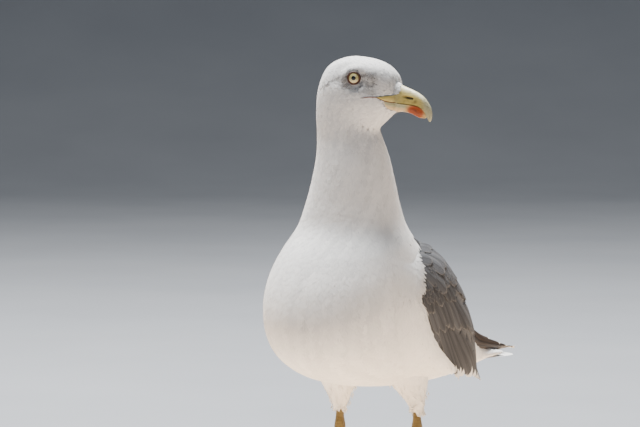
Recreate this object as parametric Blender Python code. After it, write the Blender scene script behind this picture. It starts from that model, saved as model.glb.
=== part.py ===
"""A yellow-legged gull standing at ease, life size, its head turned to its left.

Metres, +Z up. The bird faces -Y, so its left side is +X, and its bill points along +X. The body
is lofted through stations that run from the bill's base over the head, down the neck and back to
the tail: each station joins a point of the upper outline to a point of the lower one. It is
parted into head, neck, trunk and tail by thin gaps. The folded wings are crescent shells laid
into the trunk's sides, and the legs stand on flat webbed feet.
"""

import math

import bmesh
import bpy
import numpy as np

# ---------------------------------------------------------------- driving dimensions, metres
GAP = 0.0004  # clearance between neighbouring solids
GROWTH = 0.0007  # how far a cutter stands proud of the piece it makes room for
HEAD_TURN = math.radians(87)  # the head looks to the bird's left
NECK_FORWARD = 0.057  # the neck's upright axis, forward of the line between the legs
AROUND = 26  # facets round the head, neck and trunk

# Stations of the body. Forward and height of the upper outline, forward and height of the lower
# outline, half width, the section's squareness (2 is an ellipse), and the share of the head's
# turn that the station takes.
BODY = np.array([
    (0.1085, 0.4192, 0.1085, 0.3893, 0.0098, 2.3, 1.00),  # bill's base
    (0.1045, 0.4278, 0.1010, 0.3872, 0.0158, 2.5, 1.00),  # forehead
    (0.0935, 0.4365, 0.0940, 0.3818, 0.0206, 2.6, 1.00),  # lores
    (0.0770, 0.4420, 0.0885, 0.3768, 0.0236, 2.4, 1.00),  # eyes
    (0.0540, 0.4432, 0.0847, 0.3728, 0.0260, 2.2, 1.00),  # crown
    (0.0330, 0.4345, 0.0835, 0.3700, 0.0285, 2.1, 1.00),  # hind crown
    (0.0222, 0.4140, 0.0837, 0.3677, 0.0297, 2.0, 0.98),  # nape
    (0.0197, 0.3900, 0.0845, 0.3656, 0.0306, 2.0, 0.95),  # below the nape
    (0.0208, 0.3650, 0.0880, 0.3590, 0.0323, 2.0, 0.88),  # top of the neck
    (0.0210, 0.3420, 0.0940, 0.3420, 0.0368, 2.0, 0.76),
    (0.0180, 0.3200, 0.0995, 0.3190, 0.0416, 2.0, 0.60),  # middle of the neck
    (0.0140, 0.3010, 0.1045, 0.2960, 0.0466, 2.0, 0.40),
    (0.0080, 0.2840, 0.1130, 0.2730, 0.0530, 2.0, 0.20),  # base of the neck
    (0.0000, 0.2725, 0.1370, 0.2460, 0.0635, 2.1, 0.06),  # shoulders
    (-0.0130, 0.2650, 0.1560, 0.2130, 0.0725, 2.15, 0.00),  # upper breast
    (-0.0320, 0.2560, 0.1640, 0.1790, 0.0775, 2.15, 0.00),  # breast
    (-0.0550, 0.2445, 0.1530, 0.1505, 0.0790, 2.15, 0.00),  # lower breast
    (-0.0800, 0.2300, 0.1200, 0.1315, 0.0780, 2.15, 0.00),  # front of the belly
    (-0.1050, 0.2135, 0.0740, 0.1203, 0.0740, 2.15, 0.00),  # belly
    (-0.1300, 0.1950, 0.0200, 0.1135, 0.0650, 2.15, 0.00),
    (-0.1550, 0.1765, -0.0380, 0.1095, 0.0525, 2.1, 0.00),  # vent
    (-0.1780, 0.1580, -0.0950, 0.1075, 0.0385, 2.1, 0.00),  # rump
    (-0.1990, 0.1430, -0.1480, 0.1090, 0.0290, 2.1, 0.00),  # tail coverts
    (-0.2150, 0.1345, -0.1860, 0.1135, 0.0265, 2.1, 0.00),  # base of the tail
    (-0.2310, 0.1300, -0.2150, 0.1175, 0.0280, 2.1, 0.00),
    (-0.2490, 0.1260, -0.2420, 0.1198, 0.0300, 2.2, 0.00),
    (-0.2690, 0.1240, -0.2670, 0.1206, 0.0335, 2.3, 0.00),  # tip of the tail
])
NECK_TOP, NECK_BASE, TAIL_BASE = 8.0, 12.6, 22.6  # where the body is parted, in stations

# Sections of a folded left wing, seen from behind. How far behind the legs, the upper edge (out,
# up), the widest point (out, up), the lower edge (out, up) and the thickness.
WING = np.array([
    (-0.086, 0.066, 0.226, 0.0790, 0.206, 0.0755, 0.189, 0.0060),  # bend of the wing
    (-0.070, 0.062, 0.243, 0.0835, 0.205, 0.0790, 0.169, 0.0100),
    (-0.040, 0.054, 0.256, 0.0865, 0.200, 0.0810, 0.149, 0.0120),
    (0.000, 0.040, 0.259, 0.0890, 0.183, 0.0855, 0.132, 0.0130),
    (0.035, 0.027, 0.249, 0.0895, 0.153, 0.0870, 0.1225, 0.0130),
    (0.065, 0.017, 0.235, 0.0810, 0.134, 0.0835, 0.1205, 0.0110),
    (0.095, 0.009, 0.219, 0.0660, 0.135, 0.0665, 0.1230, 0.0100),
    (0.125, 0.005, 0.205, 0.0505, 0.140, 0.0490, 0.1265, 0.0090),
    (0.155, 0.004, 0.187, 0.0370, 0.1400, 0.0355, 0.1285, 0.0078),
    (0.185, 0.003, 0.163, 0.0275, 0.1370, 0.0262, 0.1295, 0.0062),
    (0.210, 0.003, 0.1465, 0.0245, 0.1335, 0.0232, 0.1290, 0.0050),  # tips of the tertials
    (0.245, 0.003, 0.1355, 0.0220, 0.1290, 0.0205, 0.1264, 0.0036),
    (0.285, 0.003, 0.1285, 0.0155, 0.1248, 0.0142, 0.1233, 0.0026),
    (0.318, 0.004, 0.1222, 0.0105, 0.1208, 0.0096, 0.1200, 0.0016),  # tip of the longest primary
])
TERTIAL_TIPS = 10.0  # where the wing ends and the bare wing tip begins, in sections
WING_EDGE = 0.0016  # thickness along a wing's upper and lower edges

# Upper bill, in the head's own middle plane: forward of the neck's axis, height of the culmen,
# height of the cutting edge and half width.
BILL_UPPER = np.array([
    (0.0519, 0.4178, 0.3990, 0.0086),
    (0.0580, 0.4150, 0.3983, 0.0072),
    (0.0655, 0.4122, 0.3977, 0.0062),
    (0.0730, 0.4090, 0.3967, 0.0057),
    (0.0797, 0.4045, 0.3942, 0.0050),
    (0.0849, 0.3985, 0.3894, 0.0040),
    (0.0878, 0.3925, 0.3842, 0.0027),
    (0.0884, 0.3868, 0.3810, 0.0014),
])
# Lower bill: forward, height of its upper edge, height of its keel and half width.
BILL_LOWER = np.array([
    (0.0519, 0.3982, 0.3899, 0.0078),
    (0.0580, 0.3975, 0.3900, 0.0066),
    (0.0660, 0.3968, 0.3882, 0.0056),
    (0.0740, 0.3955, 0.3848, 0.0049),
    (0.0790, 0.3936, 0.3845, 0.0040),
    (0.0832, 0.3898, 0.3847, 0.0020),
])
EYE_RADIUS = 0.0085
EYE_FORWARD, EYE_OUT, EYE_HEIGHT = 0.012, 0.0170, 0.4228  # from the neck's axis, for a left eye

# Legs: where each ankle stands, out to its side and behind the middle.
ANKLE = {"left": (0.040, 0.0075), "right": (-0.040, -0.0050)}
ANKLE_HEIGHT = 0.0690
CUFF_HEIGHT = 0.0910  # where the feathers of the thigh end
SOLE_TOP = 0.0092  # top of the foot's boss under the shank
# Feathered thigh: height, forward of the ankle, outward, half width across, half depth.
THIGH = np.array([
    (0.1500, 0.020, -0.006, 0.0240, 0.0340),
    (0.1300, 0.014, -0.005, 0.0220, 0.0280),
    (0.1150, 0.009, -0.004, 0.0175, 0.0200),
    (0.1030, 0.004, -0.0015, 0.0115, 0.0130),
    (CUFF_HEIGHT, 0.000, 0.000, 0.0070, 0.0078),
])
# Bare shank: height, forward of the ankle, half width across, half depth.
SHANK = np.array([
    (CUFF_HEIGHT - GAP, 0.000, 0.0038, 0.0044),
    (0.0800, 0.000, 0.0041, 0.0048),
    (ANKLE_HEIGHT, 0.000, 0.0056, 0.0062),
    (0.0600, 0.001, 0.0041, 0.0052),
    (0.0400, 0.003, 0.0030, 0.0043),
    (0.0200, 0.004, 0.0031, 0.0044),
    (SOLE_TOP + GAP, 0.005, 0.0040, 0.0050),
])
TOE_BASE_FORWARD = 0.0055  # the toes' meeting point, forward of the ankle
# Toes: length, heading in degrees outward of straight ahead, radius at the base.
TOES = {"inner": (0.043, -27.0, 0.0031), "middle": (0.058, -2.0, 0.0034), "outer": (0.053, 24.0, 0.0032)}
HIND_TOE = (0.009, 188.0, 0.0019)
TOE_START = 0.7  # a toe starts this many of its radii behind the toes' meeting point
WEB_THICKNESS = 0.0016
BELOW_FLOOR = 0.0012  # how far a foot's shapes run on below the floor before they are cut flat


# ---------------------------------------------------------------- curves and meshes
def through(rows, at):
    """Catmull-Rom curve through the rows of a table, read at these row numbers."""
    ends = np.vstack([2 * rows[0] - rows[1], rows, 2 * rows[-1] - rows[-2]])
    at = np.asarray(at, float)
    row = np.clip(at.astype(int), 0, len(rows) - 2)
    t = (at - row)[:, None]
    before, first, second, after = (ends[row + k] for k in range(4))
    straight = second - before
    bend = 2 * before - 5 * first + 4 * second - after
    twist = 3 * (first - second) + after - before
    return first + 0.5 * t * (straight + t * (bend + t * twist))


def surface(name, rings, colour):
    """A closed skin over equal rings of points, in order, with a flat cap at each end."""
    mesh = bmesh.new()
    rows = [[mesh.verts.new(point) for point in ring] for ring in rings]
    for near, far in zip(rows, rows[1:]):
        for i in range(len(near)):
            j = (i + 1) % len(near)
            mesh.faces.new((near[i], near[j], far[j], far[i]))
    mesh.faces.new(rows[0])
    mesh.faces.new(reversed(rows[-1]))
    bmesh.ops.recalc_face_normals(mesh, faces=mesh.faces)
    return finished(name, mesh, colour)


def finished(name, mesh, colour):
    """The bmesh as an object of the gull, shaded smooth except across sharp edges."""
    data = bpy.data.meshes.new(name)
    mesh.to_mesh(data)
    mesh.free()
    data.materials.append(colour)
    data.shade_smooth()
    data.set_sharp_from_angle(angle=math.radians(50))
    made = bpy.data.objects.new(name, data)
    gull.objects.link(made)
    made.parent = stand
    return made


def finish_colour(name, colour, roughness):
    material = bpy.data.materials.new(name)
    material.use_nodes = True
    shader = material.node_tree.nodes["Principled BSDF"]
    shader.inputs["Base Color"].default_value = (*colour, 1)
    shader.inputs["Roughness"].default_value = roughness
    return material


def cutter_of(piece, growth):
    """A hidden copy of the piece that stands proud of it by this much."""
    copy = piece.copy()
    copy.name = "room_for_" + piece.name
    cutters.objects.link(copy)
    copy.display_type = "WIRE"
    copy.hide_render = True
    swell = copy.modifiers.new("swell", "DISPLACE")
    swell.mid_level = 0
    swell.strength = growth
    return copy


def cut(piece, cutter, operation="DIFFERENCE"):
    boolean = piece.modifiers.new(cutter.name, "BOOLEAN")
    boolean.operation = operation
    boolean.solver = "EXACT"
    boolean.object = cutter


# ---------------------------------------------------------------- body
def turned(points, angle):
    """The points turned to the bird's left about the neck's upright axis."""
    c, s = math.cos(angle), math.sin(angle)
    x, y = points[..., 0], points[..., 1] + NECK_FORWARD
    return np.stack([c * x - s * y, s * x + c * y - NECK_FORWARD, points[..., 2]], -1)


def body_ring(station, shift=0.0):
    """Points round the body at one station: v = 0 is on the upper outline. The section is a
    superellipse. shift moves it along its own normal."""
    top_f, top_z, low_f, low_z, half, squareness, turn = through(BODY, [station])[0]
    v = np.linspace(0, 2 * math.pi, AROUND, endpoint=False)
    power = 2 / squareness
    out = np.sign(np.sin(v)) * np.abs(np.sin(v)) ** power * half
    up = np.sign(np.cos(v)) * np.abs(np.cos(v)) ** power
    y = -(top_f + low_f) / 2 - up * (top_f - low_f) / 2
    z = (top_z + low_z) / 2 + up * (top_z - low_z) / 2
    length = math.hypot(top_f - low_f, top_z - low_z)
    backward = np.array([0, (top_z - low_z), (top_f - low_f)]) / length
    points = np.stack([out, y, z], -1) + shift * backward
    return turned(points, turn * HEAD_TURN)


def body_length(name, start, end, steps, colour):
    """A length of the body between two stations, drawn in by half the gap at each cut."""
    stations = np.linspace(start, end, steps)
    rings = [body_ring(s) for s in stations]
    if start > 0:
        rings[0] = body_ring(start, GAP / 2)
    if end < len(BODY) - 1:
        rings[-1] = body_ring(end, -GAP / 2)
    return surface(name, rings, colour)


# ---------------------------------------------------------------- wings
def wing_ring(section, side):
    """Points round a folded wing at one section: over the outside from the upper edge to the
    lower one, as a quarter of an ellipse and a parabola, then back along the inside."""
    y, top_x, top_z, wide_x, wide_z, low_x, low_z, thick = through(WING, [section])[0]
    a = np.linspace(0, math.pi / 2, 7)
    upper = np.stack([top_x + (wide_x - top_x) * np.sin(a), wide_z + (top_z - wide_z) * np.cos(a)], -1)
    t = np.linspace(0, 1, 5)[1:]
    lower = np.stack([wide_x - (wide_x - low_x) * t**2, wide_z - (wide_z - low_z) * t], -1)
    outer = np.vstack([upper, lower])
    along = np.gradient(outer, axis=0)
    along /= np.linalg.norm(along, axis=1)[:, None]
    inward = np.stack([along[:, 1], -along[:, 0]], -1)
    share = np.linspace(0, 1, len(outer))
    depth = WING_EDGE + max(thick - WING_EDGE, 0) * np.sin(math.pi * share) ** 0.7
    inner = (outer + inward * depth[:, None])[::-1]
    loop = np.vstack([outer, inner])
    return np.stack([side * loop[:, 0], np.full(len(loop), y), loop[:, 1]], -1)


def wing_length(name, sections, side, colour, shift=0.0):
    """A length of a folded wing through these sections, its front end moved back by shift."""
    rings = [wing_ring(s, side) for s in sections]
    rings[0] = rings[0] + (0, shift, 0)
    return surface(name, rings, colour)


# ---------------------------------------------------------------- head's fittings
def bill_half(name, rows, steps, pointed_down, colour):
    """One half of the bill: a loft of half-round sections, the flat of each on the cutting edge.
    The upper half is arched above its edge, the lower one is keeled below it."""
    rings = []
    for forward, first_z, second_z, half in through(rows, np.linspace(0, len(rows) - 1, steps)):
        edge_z, ridge_z = (first_z, second_z) if pointed_down else (second_z, first_z)
        a = np.linspace(0, math.pi, 10)
        out = half * np.cos(a)
        z = edge_z + (ridge_z - edge_z) * np.sin(a) ** 0.9
        straight = np.stack([out, np.full(len(a), -forward - NECK_FORWARD), z], -1)
        rings.append(turned(straight, HEAD_TURN))
    return surface(name, rings, colour)


def eye(name, side, colour):
    bpy.ops.mesh.primitive_uv_sphere_add(segments=16, ring_count=8, radius=EYE_RADIUS)
    made = bpy.context.object
    made.name = made.data.name = name
    straight = np.array([side * EYE_OUT, -EYE_FORWARD - NECK_FORWARD, EYE_HEIGHT])
    made.location = turned(straight, HEAD_TURN)
    made.rotation_euler = (math.radians(90), 0, 0)
    made.data.materials.append(colour)
    made.data.shade_smooth()
    bpy.context.collection.objects.unlink(made)
    gull.objects.link(made)
    made.parent = stand
    return made


# ---------------------------------------------------------------- legs
def oval(x, y, z, half_x, half_y, around=16):
    a = np.linspace(0, 2 * math.pi, around, endpoint=False)
    return np.stack([x + half_x * np.cos(a), y + half_y * np.sin(a), np.full(around, z)], -1)


def thigh(side_name, colour):
    x, y = ANKLE[side_name]
    side = math.copysign(1, x)
    rows = through(THIGH, np.linspace(0, len(THIGH) - 1, 9))
    rings = [oval(x + side * out, y - ahead, z, across, deep) for z, ahead, out, across, deep in rows]
    return surface("thigh_" + side_name, rings, colour)


def shank(side_name, colour):
    x, y = ANKLE[side_name]
    rows = through(SHANK, np.linspace(0, len(SHANK) - 1, 14))
    rings = [oval(x, y - ahead, z, across, deep, 14) for z, ahead, across, deep in rows]
    return surface("shank_" + side_name, rings, colour)


def toe_mesh(root, length, heading, radius):
    """A toe as a tapered tube along the floor, its claw bent down to a blunt point."""
    curve = bpy.data.curves.new("toe", "CURVE")
    curve.dimensions = "3D"
    curve.bevel_depth = 1.0
    curve.bevel_resolution = 2
    curve.use_fill_caps = True
    line = curve.splines.new("POLY")
    steps = 7
    line.points.add(steps - 1)
    for i, point in enumerate(line.points):
        share = i / (steps - 1)
        reach = length * share - TOE_START * radius
        rise = radius * (0.90 + 0.5 * (1 - share) ** 3 - 0.35 * share**4)
        point.co = (
            root[0] + reach * math.sin(heading),
            root[1] - reach * math.cos(heading),
            rise,
            1,
        )
        point.radius = radius * (1 - 0.35 * share - 0.38 * share**6)
    made = bpy.data.objects.new("toe", curve)
    cutters.objects.link(made)
    bpy.context.view_layer.update()
    mesh = bpy.data.meshes.new_from_object(made.evaluated_get(bpy.context.evaluated_depsgraph_get()))
    bpy.data.objects.remove(made)
    welded = bmesh.new()
    welded.from_mesh(mesh)
    bmesh.ops.remove_doubles(welded, verts=welded.verts, dist=1e-6)
    bmesh.ops.recalc_face_normals(welded, faces=welded.faces)
    welded.to_mesh(mesh)
    welded.free()
    return mesh


def web(root, side):
    """The webs: a flat fan between the three front toes, its front edge drawn in between them."""
    tips = []
    for length, degrees, _ in TOES.values():
        heading = math.radians(degrees) * side
        tips.append((0.92 * length, heading))
    edge = [(0.006, math.radians(-120) * side)]
    for (near, first), (far, second) in zip(tips, tips[1:]):
        for share in np.linspace(0, 1, 6)[:-1]:
            reach = near + (far - near) * share - 0.30 * min(near, far) * math.sin(math.pi * share) ** 0.8
            edge.append((reach, first + (second - first) * share))
    edge.append(tips[-1])
    edge.append((0.006, math.radians(120) * side))
    mesh = bmesh.new()
    for z in (-BELOW_FLOOR, WEB_THICKNESS):
        for reach, heading in edge:
            mesh.verts.new((root[0] + reach * math.sin(heading), root[1] - reach * math.cos(heading), z))
    mesh.verts.ensure_lookup_table()
    n = len(edge)
    mesh.faces.new(mesh.verts[i] for i in range(n))
    mesh.faces.new(mesh.verts[n + i] for i in range(n))
    for i in range(n):
        j = (i + 1) % n
        mesh.faces.new(mesh.verts[k] for k in (i, j, n + j, n + i))
    bmesh.ops.recalc_face_normals(mesh, faces=mesh.faces)
    return mesh


def helper(name, mesh):
    made = bpy.data.objects.new(name, mesh)
    cutters.objects.link(made)
    made.hide_render = True
    made.display_type = "WIRE"
    made.parent = stand
    return made


def foot(side_name, colour):
    """Webs, three front toes, a small hind toe and the boss under the shank, in one piece, with
    all that would reach below the floor cut off flat."""
    x, y = ANKLE[side_name]
    side = math.copysign(1, x)
    root = (x, y - TOE_BASE_FORWARD)
    made = finished("foot_" + side_name, web(root, side), colour)
    for toe_name, (length, degrees, radius) in {**TOES, "hind": HIND_TOE}.items():
        heading = math.radians(degrees) * side
        mesh = toe_mesh(root, length, heading, radius)
        cut(made, helper(f"{side_name}_{toe_name}_toe", mesh), "UNION")
    boss = bmesh.new()
    bmesh.ops.create_cone(
        boss, cap_ends=True, segments=18, radius1=0.0062, radius2=0.0050, depth=SOLE_TOP + BELOW_FLOOR
    )
    bmesh.ops.translate(boss, verts=boss.verts, vec=(*root, (SOLE_TOP - BELOW_FLOOR) / 2))
    boss_data = bpy.data.meshes.new("boss")
    boss.to_mesh(boss_data)
    boss.free()
    cut(made, helper(side_name + "_boss", boss_data), "UNION")
    floor = bmesh.new()
    bmesh.ops.create_cube(floor, size=0.2)
    bmesh.ops.translate(floor, verts=floor.verts, vec=(*root, -0.1))
    floor_data = bpy.data.meshes.new("floor")
    floor.to_mesh(floor_data)
    floor.free()
    cut(made, helper(side_name + "_floor", floor_data))
    return made


# ---------------------------------------------------------------- the gull
for old in list(bpy.data.objects):
    bpy.data.objects.remove(old)
gull = bpy.data.collections.new("gull")
cutters = bpy.data.collections.new("cutters")
bpy.context.scene.collection.children.link(gull)
bpy.context.scene.collection.children.link(cutters)
stand = bpy.data.objects.new("stand_point", None)
gull.objects.link(stand)

white = finish_colour("white_plumage", (0.86, 0.85, 0.82), 0.85)
grey = finish_colour("grey_plumage", (0.33, 0.34, 0.36), 0.75)
black = finish_colour("wing_tip_plumage", (0.05, 0.045, 0.045), 0.6)
horn = finish_colour("bill_horn", (0.75, 0.60, 0.20), 0.40)
iris = finish_colour("eye", (0.72, 0.66, 0.38), 0.15)
scales = finish_colour("leg_scales", (0.66, 0.46, 0.12), 0.5)

head = body_length("head", 0, NECK_TOP, 16, white)
body_length("neck", NECK_TOP, NECK_BASE, 9, white)
trunk = body_length("trunk", NECK_BASE, TAIL_BASE, 20, white)
tail = body_length("tail", TAIL_BASE, len(BODY) - 1, 7, white)

wing_sections = np.linspace(0, TERTIAL_TIPS, 16)
tip_sections = np.linspace(TERTIAL_TIPS, len(WING) - 1, 7)
for side_name, side in (("left", 1), ("right", -1)):
    wing_length("wing_" + side_name, wing_sections, side, grey)
    wing_length("wingtip_" + side_name, tip_sections, side, black, GAP)
    whole_wing = wing_length("whole_wing_" + side_name, [*wing_sections, *tip_sections[1:]], side, grey)
    wing_room = cutter_of(whole_wing, GROWTH)
    bpy.data.objects.remove(whole_wing)
    cut(trunk, wing_room)
    cut(tail, wing_room)

    ball = eye("eye_" + side_name, side, iris)
    cut(head, cutter_of(ball, GAP))

    leg = thigh(side_name, white)
    shank(side_name, scales)
    foot(side_name, scales)
whole_trunk = body_length("whole_trunk", NECK_BASE - 0.4, TAIL_BASE, 30, white)
trunk_room = cutter_of(whole_trunk, GROWTH)
bpy.data.objects.remove(whole_trunk)
for side_name in ("left", "right"):
    cut(bpy.data.objects["thigh_" + side_name], trunk_room)

bill_half("bill_upper", BILL_UPPER, 14, False, horn)
bill_half("bill_lower", BILL_LOWER, 10, True, horn)

# The origin is on the floor, under the middle of the bird's box.
bpy.context.view_layer.update()
graph = bpy.context.evaluated_depsgraph_get()
corners = []
for piece in gull.objects:
    if piece.type == "MESH":
        shown = piece.evaluated_get(graph)
        corners += [shown.matrix_world @ vertex.co for vertex in shown.data.vertices]
corners = np.array(corners)
middle = (corners.min(0) + corners.max(0)) / 2
stand.location = (-middle[0], -middle[1], 0)
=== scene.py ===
"""A yellow-legged gull standing at ease, life size, its head turned to its left: the finish.

Metres, +Z up. The bird faces -Y, so its left side is +X. One skin stands for the flesh, and every
feather over it is a thin closed vane that follows the lie of the plumage.
"""

import math

import bmesh
import bpy
import numpy as np
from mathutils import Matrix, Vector


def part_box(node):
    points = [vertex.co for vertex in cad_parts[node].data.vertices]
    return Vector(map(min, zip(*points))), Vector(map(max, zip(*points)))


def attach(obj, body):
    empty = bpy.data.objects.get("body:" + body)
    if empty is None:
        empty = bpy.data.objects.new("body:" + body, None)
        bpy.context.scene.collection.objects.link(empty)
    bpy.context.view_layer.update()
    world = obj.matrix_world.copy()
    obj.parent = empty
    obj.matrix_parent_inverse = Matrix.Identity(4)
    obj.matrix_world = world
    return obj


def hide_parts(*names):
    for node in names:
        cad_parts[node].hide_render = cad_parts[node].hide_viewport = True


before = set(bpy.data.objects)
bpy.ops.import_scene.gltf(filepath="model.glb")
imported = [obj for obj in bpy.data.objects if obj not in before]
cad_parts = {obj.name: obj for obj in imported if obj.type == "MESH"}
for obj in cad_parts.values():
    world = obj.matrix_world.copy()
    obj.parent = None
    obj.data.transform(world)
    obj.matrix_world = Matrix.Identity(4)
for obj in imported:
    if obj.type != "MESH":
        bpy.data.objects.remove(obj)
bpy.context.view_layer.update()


def linked(name, data):
    """A new object of the scene that shows this mesh, light or camera."""
    made = bpy.data.objects.new(name, data)
    bpy.context.scene.collection.objects.link(made)
    return made


# ------------------------------------------------------------------------------ camera
# A long lens 3.5 m off, a little above the bird's breast and to its left, aimed so that the head
# and breast fill the height and the legs are cut at the ankles.
CAMERA_AZIMUTH, CAMERA_ELEVATION = math.radians(27), math.radians(4)
CAMERA_DISTANCE = 3.5
CAMERA_AIM = Vector((-0.0517, -0.1036, 0.2850))
SENSOR_WIDTH, LENS = 36.0, 196.875  # in millimetres

camera = linked("camera", bpy.data.cameras.new("camera"))
bpy.context.scene.camera = camera
camera.data.sensor_width = SENSOR_WIDTH
camera.data.lens = LENS
camera_back = Vector((
    math.sin(CAMERA_AZIMUTH) * math.cos(CAMERA_ELEVATION),
    -math.cos(CAMERA_AZIMUTH) * math.cos(CAMERA_ELEVATION),
    math.sin(CAMERA_ELEVATION),
))
camera.location = CAMERA_AIM + camera_back * CAMERA_DISTANCE
camera.rotation_mode = "QUATERNION"
camera.rotation_quaternion = (-camera_back).to_track_quat("-Z", "Y")


# ------------------------------------------------------------------------------ the body's form
# Head, neck, trunk and tail are one smooth form under the coat. It is lofted through the stations
# that the solids are made from: each joins a point of the upper outline to one of the lower.
HEAD_TURN = math.radians(87)
NECK_FORWARD = 0.057  # the neck's upright axis, forward of the line between the legs
EYE_FORWARD = 0.012  # an eye's middle, forward of the neck's axis
# Forward and height of the upper outline, forward and height of the lower one, half width, the
# section's squareness (2 is an ellipse), and the share of the head's turn that it takes.
BODY = np.array([
    (0.1085, 0.4192, 0.1085, 0.3893, 0.0098, 2.3, 1.00),  # bill's base
    (0.1045, 0.4278, 0.1010, 0.3872, 0.0158, 2.5, 1.00),  # forehead
    (0.0935, 0.4365, 0.0940, 0.3818, 0.0206, 2.6, 1.00),  # lores
    (0.0770, 0.4420, 0.0885, 0.3768, 0.0236, 2.4, 1.00),  # eyes
    (0.0540, 0.4432, 0.0847, 0.3728, 0.0260, 2.2, 1.00),  # crown
    (0.0330, 0.4345, 0.0835, 0.3700, 0.0285, 2.1, 1.00),  # hind crown
    (0.0222, 0.4140, 0.0837, 0.3677, 0.0297, 2.0, 0.98),  # nape
    (0.0197, 0.3900, 0.0845, 0.3656, 0.0306, 2.0, 0.95),  # below the nape
    (0.0208, 0.3650, 0.0880, 0.3590, 0.0323, 2.0, 0.88),  # top of the neck
    (0.0210, 0.3420, 0.0940, 0.3420, 0.0368, 2.0, 0.76),
    (0.0180, 0.3200, 0.0995, 0.3190, 0.0416, 2.0, 0.60),  # middle of the neck
    (0.0140, 0.3010, 0.1045, 0.2960, 0.0466, 2.0, 0.40),
    (0.0080, 0.2840, 0.1130, 0.2730, 0.0530, 2.0, 0.20),  # base of the neck
    (0.0000, 0.2725, 0.1370, 0.2460, 0.0635, 2.1, 0.06),  # shoulders
    (-0.0130, 0.2650, 0.1560, 0.2130, 0.0725, 2.15, 0.00),  # upper breast
    (-0.0320, 0.2560, 0.1640, 0.1790, 0.0775, 2.15, 0.00),  # breast
    (-0.0550, 0.2445, 0.1530, 0.1505, 0.0790, 2.15, 0.00),  # lower breast
    (-0.0800, 0.2300, 0.1200, 0.1315, 0.0780, 2.15, 0.00),  # front of the belly
    (-0.1050, 0.2135, 0.0740, 0.1203, 0.0740, 2.15, 0.00),  # belly
    (-0.1300, 0.1950, 0.0200, 0.1135, 0.0650, 2.15, 0.00),
    (-0.1550, 0.1765, -0.0380, 0.1095, 0.0525, 2.1, 0.00),  # vent
    (-0.1780, 0.1580, -0.0950, 0.1075, 0.0385, 2.1, 0.00),  # rump
    (-0.1990, 0.1430, -0.1480, 0.1090, 0.0290, 2.1, 0.00),  # tail coverts
    (-0.2150, 0.1345, -0.1860, 0.1135, 0.0265, 2.1, 0.00),  # base of the tail
    (-0.2310, 0.1300, -0.2150, 0.1175, 0.0280, 2.1, 0.00),
    (-0.2490, 0.1260, -0.2420, 0.1198, 0.0300, 2.2, 0.00),
    (-0.2690, 0.1240, -0.2670, 0.1206, 0.0335, 2.3, 0.00),  # tip of the tail
])
FACE_END = 7.5  # station where the head's own relief has faded out


def middle_of(node):
    low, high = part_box(node)
    return np.array((low + high) / 2)


eye_middle = {"left": middle_of("eye_left"), "right": middle_of("eye_right")}
eye_radius = (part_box("eye_left")[1].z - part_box("eye_left")[0].z) / 2
head_ahead = np.array([math.sin(HEAD_TURN), -math.cos(HEAD_TURN), 0.0])
head_left = np.array([math.cos(HEAD_TURN), math.sin(HEAD_TURN), 0.0])
neck_axis = (eye_middle["left"] + eye_middle["right"]) / 2 - EYE_FORWARD * head_ahead
legs_y = neck_axis[1] + NECK_FORWARD  # the line between the legs, where the stations start from
SIDES = {"left": 1, "right": -1}
UPWARD = np.array([0, 0, 1.0])
EYE_TURN = math.radians(21)  # how far forward of sideways an eye looks
EYE_WINDOW = 0.0062  # from an eye's middle out to the plane of its bare ring
SOCKET, SOCKET_END = 0.0072, 0.0150  # the face lies in that plane up to here, and has left it here
SOCKET_SUNK = 0.0003  # the face there lies this far behind the ring's plane
eye_axis = {
    name: side * head_left * math.cos(EYE_TURN) + head_ahead * math.sin(EYE_TURN)
    for name, side in SIDES.items()
}


def through(rows, at):
    """Catmull-Rom curve through the rows of a table, read at these row numbers. Past either end
    it runs straight on."""
    ends = np.vstack([2 * rows[0] - rows[1], rows, 2 * rows[-1] - rows[-2]])
    at = np.asarray(at, float)
    row = np.clip(np.floor(at).astype(int), 0, len(rows) - 2)
    t = (at - row)[..., None]
    before, first, second, after = (ends[row + k] for k in range(4))
    bend = 2 * before - 5 * first + 4 * second - after
    twist = 3 * (first - second) + after - before
    inside = first + 0.5 * t * (second - before + t * (bend + t * twist))
    start = first + 0.5 * t * (second - before)
    end = second + 0.5 * (t - 1) * (after - first)
    return np.where(t < 0, start, np.where(t > 1, end, inside))


def read_off(table, at, column=1):
    """A table's column at these values of its first column, straight from row to row."""
    return np.interp(at, table[:, 0], table[:, column])


def cells(first, second):
    """Two grids: the first values down the rows and the second along the columns."""
    return np.meshgrid(first, second, indexing="ij")


def around(count):
    """This many angles, evenly spaced round a full turn."""
    return np.linspace(0, 2 * math.pi, count, endpoint=False)


def columns_of(table, rows):
    """A smooth curve through the rows of a table, one array for each column, with a last axis of
    one so that each meets a row of angles."""
    return np.moveaxis(through(table, rows), -1, 0)[..., None]


def xyz(x, y, z):
    return np.stack(np.broadcast_arrays(x, y, z), -1)


def unit(vectors):
    return vectors / np.maximum(np.linalg.norm(vectors, axis=-1, keepdims=True), 1e-9)


def bump(x, middle, reach):
    """exp(-(x - middle)^2 / reach^2): a soft hill of height 1."""
    return np.exp(-(((x - middle) / reach) ** 2))


def smooth(value, low, high):
    """0 up to low, 1 from high, and 3x^2 - 2x^3 between."""
    x = np.clip((value - low) / (high - low), 0, 1)
    return x * x * (3 - 2 * x)


def mixed(first, second, share):
    return first + (second - first) * np.asarray(share)[..., None]


def layered(tint, *layers):
    """A tint with others laid over it in turn, each by its share."""
    for colour, share in layers:
        tint = mixed(tint, colour, share)
    return tint


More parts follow.
